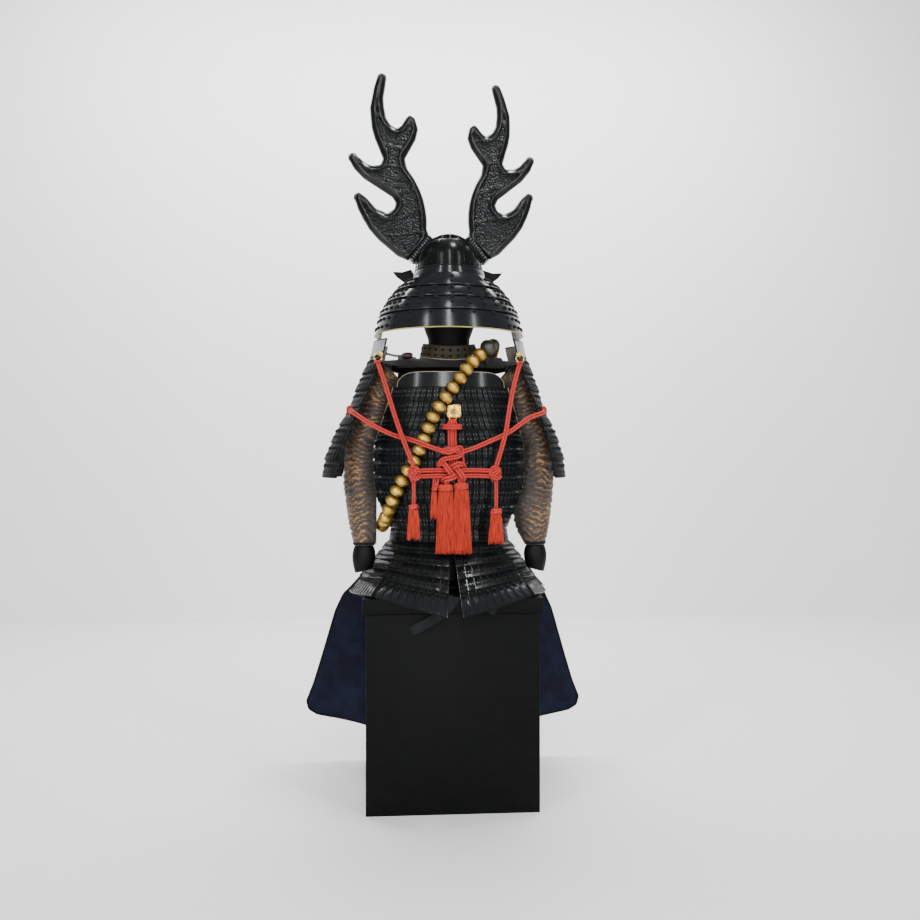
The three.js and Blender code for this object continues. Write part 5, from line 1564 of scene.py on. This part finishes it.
# Gilt plate with its ring: a plain rosette on a square.
PLATE = (5, -140.6, 1001)
plate = Shape()
half_wide, half_tall = 18, 17


def squircle(radius_x, radius_z, power=0.35):
    return [
        point(
            PLATE[0] + radius_x * bulge(math.cos(t), power), 0,
            PLATE[2] + radius_z * bulge(math.sin(t), power),
        )
        for t in full_turn(48)[:-1]
    ]


levels = [(1.0, 1.2), (1.0, -1.3), (0.93, -2.2), (0.8, -2.2), (0.76, -1.0), (0.3, -1.0)]
plate.grid([
    [p + point(0, PLATE[1] + rise, 0) for p in squircle(half_wide * s, half_tall * s)]
    for s, rise in levels
], True)
plate.close_ends(48)
for i in range(8):
    turn = 2 * math.pi * i / 8
    centre = point(PLATE[0] + 7.2 * math.cos(turn), PLATE[1] - 1.4, PLATE[2] + 7.2 * math.sin(turn))
    along = point(math.cos(turn), 0, math.sin(turn))
    plate.stamp(SMALL_ROUND, centre, along, point(-along[2], 0, along[0]), point(0, -1, 0), (4.6, 2.6, 1.7))
plate.stamp(
    SMALL_ROUND, point(PLATE[0], PLATE[1] - 1.8, PLATE[2]), point(1, 0, 0), point(0, 0, 1), point(0, -1, 0),
    (3.6, 3.6, 2.2),
)
ring_line = spline([(-7, -143, 982), (2, -141, 989), (11, -143, 982), (2, -146, 972.9)], True)
plate.tube(evenly(ring_line, 28), 1.8, 8, to_back, True)
piece("ring_plate_gilt", plate, "gilt_metal", ("ring_plate",))


# Tassels: a wrapped head over cut threads.
def tassel(shape, head, middle, y_middle, top, length, width, depth, threads, seed):
    """Head and threads of one tassel. The threads fan a little and end unevenly."""
    rng = random.Random(seed)
    root = top - min(14.0, length * 0.14)
    for turns, level in ((3, 0.75), (2, 0.35)):
        wrap = [
            point(
                middle + 0.27 * width * math.cos(t), y_middle + 0.27 * depth * math.sin(t),
                mix(root, top, level) + 1.5 * math.sin(t + turns),
            )
            for t in full_turn(24)
        ]
        fat = [0.14 * width * (1 + 0.16 * math.cos(turns * t + seed)) for t in full_turn(24)]
        head.tube(np.array(wrap), fat, 10, upward, closed=True)
    core = []
    for share in spread(0, 1, 8):
        z = mix(root, top - length + 8, share)
        grow = mix(0.66, 1.0, share**0.8)
        core.append([
            point(middle + grow * width / 2 * math.cos(t), y_middle + grow * depth / 2 * math.sin(t), z)
            for t in full_turn(20)[:-1]
        ])
    shape.grid(core, True)
    shape.faces.append(tuple(range(len(shape.points) - 20, len(shape.points))))
    shape.places.append([(0.0, 0.0)] * 20)
    for i in range(threads):
        turn = 2 * math.pi * (i + 0.5 * rng.random()) / threads
        wobble = rng.uniform(-1, 1)
        foot = top - length + rng.uniform(-4, 8)
        line = []
        for share in spread(0, 1, 7):
            grow = mix(0.7, 1.06, share**0.8) + 0.03 * math.sin(5 * share + 6 * wobble)
            line.append(point(
                middle + grow * width / 2 * math.cos(turn + 0.04 * wobble * share),
                y_middle + grow * depth / 2 * math.sin(turn + 0.04 * wobble * share),
                mix(root - 1, foot, share),
            ))
        shape.tube(np.array(line), 0.85, 4)


# Node, x and y of its cord, height where it starts, its drop, then the tassel's length, width and depth.
TASSELS = [
    ("tassel_left", -98, -179, 827.3, 62, 84, 30, 20), ("tassel_right", 112, -144, 827.3, 76, 86, 36, 20),
    ("tassel_small", -46, -160, 836, 28, 76, 17, 12),
]
for node, x, y_hang, z, drop, length, width, depth in TASSELS:
    threads, head = Shape(), Shape()
    top = z - drop
    tassel(threads, head, x, y_hang, top, length, width, depth, 70, len(node) + drop)
    pair(head, [(x, y_hang, z), (x + 0.5, y_hang, (z + top) / 2), (x, y_hang, top - 3)], radius=2.5, steps=12)
    piece(f"{node}_threads", threads, "red_threads", (node,), 60)
    piece(f"{node}_head", head, "red_braid", (), 60)
threads, head = Shape(), Shape()
for i, (middle, top) in enumerate(((-17, 812), (23, 816))):
    tassel(threads, head, middle, -159, top, top - 644, 47, 28, 120, 40 + i)
piece("tassel_pair_threads", threads, "red_threads", ("tassel_pair",), 60)
piece("tassel_pair_heads", head, "red_threads", (), 60)


# Toggle on the left shoulder, and its black cord.
toggle = Shape()
toggle_ends = point(-126, -70, 1148.1), point(-98, -72, 1149.1)
toggle_line = np.array([mix(*toggle_ends, s) for s in spread(0, 1, 12)])
toggle_radii = [
    9 * (0.5 + 0.5 * math.sin(math.pi * min(max(s, 0.02), 0.98)) ** 0.6) for s in spread(0, 1, 12)
]
toggle.tube(toggle_line, toggle_radii, 16)
piece("shoulder_toggle_wood", toggle, "toggle", ("shoulder_toggle",))
loops = Shape()
pair(loops, [(-166, -74, 1153), (-146, -71, 1148.5), (-125, -70, 1148.1)], radius=1.6, steps=12)
piece("shoulder_toggle_cord", loops, "silk")

# Black tapes that hang behind the box.
TAPES = {
    "tape_long": [(6, -200, 537.2), (2, -212, 539.2), (-7, -218, 522), (-48, -221, 488), (-104, -220, 458)],
    "tape_short": [(44, -200, 537.2), (50, -212.4, 539.6), (64, -218, 526), (104, -220, 505)],
}
for node, route in TAPES.items():
    line = evenly(spline(route), 48)

    def over_edge(p):
        over = min(max((-208 - p[1]) / 8, 0), 1)
        return point(0, -over, 1 - over + 1e-3)

    rails = [side_step(line, over_edge, s) for s in spread(-11.5, 11.5, 6)]
    run = tangents(line)
    outer, inner = [], []
    for i in range(len(line)):
        across = unit(rails[-1][i] - rails[0][i])
        out = unit(np.cross(across, run[i]))
        outer.append([rail[i] + out * (0.8 + 0.25 * math.sin(i * 0.5 + k)) for k, rail in enumerate(rails)])
        inner.append([rail[i] - out * 0.8 for rail in rails])
    shape = Shape()
    shape.closed_wall(outer, inner)
    tape = piece(f"{node}_cloth", shape, "tape_cloth", (node,), 60)


# Box, lid and inner stand.
bevelled_box("display_box_paint", *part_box("display_box"), "box_paint", 2.0, ("display_box",))
bevelled_box("box_lid_paint", *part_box("box_lid"), "box_paint", 2.5, ("box_lid",))
remeshed("stand_form", "stand", "stand_wood", 4.0, 6)


# Floor, backdrop and soft studio light.
def stage_plane(name, corners, colour, rough):
    mesh = bpy.data.meshes.new(name)
    mesh.from_pydata(corners, [], [(0, 1, 2, 3)])
    thing = bpy.data.objects.new(name, mesh)
    scene.collection.objects.link(thing)
    material = surface(name, colour, rough)[0]
    mesh.materials.append(material)


HALF, WALL_Y, WALL_HIGH = 6, 2.6, 5  # Half width of the stage, place and height of the backdrop in metres.
stage_plane("floor", [(-HALF, -HALF, 0), (HALF, -HALF, 0), (HALF, HALF, 0), (-HALF, HALF, 0)], "#F1F0EE", 0.5)
stage_plane("backdrop", [
    (-HALF, WALL_Y, 0), (HALF, WALL_Y, 0), (HALF, WALL_Y, WALL_HIGH), (-HALF, WALL_Y, WALL_HIGH),
], "#EFEDF0", 0.9)


def area_light(name, place, target, size, power, colour="#FFFFFF"):
    data = bpy.data.lights.new(name, "AREA")
    data.shape = "RECTANGLE"
    data.size, data.size_y = size
    data.energy = power
    data.color = linear(colour)[:3]
    lamp = bpy.data.objects.new(name, data)
    scene.collection.objects.link(lamp)
    lamp.location = place
    lamp.rotation_euler = (Vector(target) - Vector(place)).to_track_quat("-Z", "Y").to_euler()


# Three tall windows, each with a leaning skylight above it, give the crisp streaks in the lacquer.
WINDOW = (0.17, 2.8)
for name, x in (("left", -2.3), ("middle", -0.1), ("right", 2.3)):
    area_light(f"window_{name}", (x, -3.3, 1.4), (x, 0, 1.4), WINDOW, 62)
    area_light(f"skylight_{name}", (x, -2.6, 4.1), (x, 0, 3.1), WINDOW, 66)
area_light("overhead", (0.3, -0.22, 3.2), (0.2, -0.25, 0.5), (0.34, 0.3), 22)
area_light("backdrop_wash", (0.0, 1.2, 3.4), (0, 2.6, 1.2), (4.0, 0.6), 150)
world = bpy.data.worlds.new("room")
world.use_nodes = True
world.node_tree.nodes["Background"].inputs["Color"].default_value = linear("#E4E4E8")
world.node_tree.nodes["Background"].inputs["Strength"].default_value = 0.5
scene.world = world
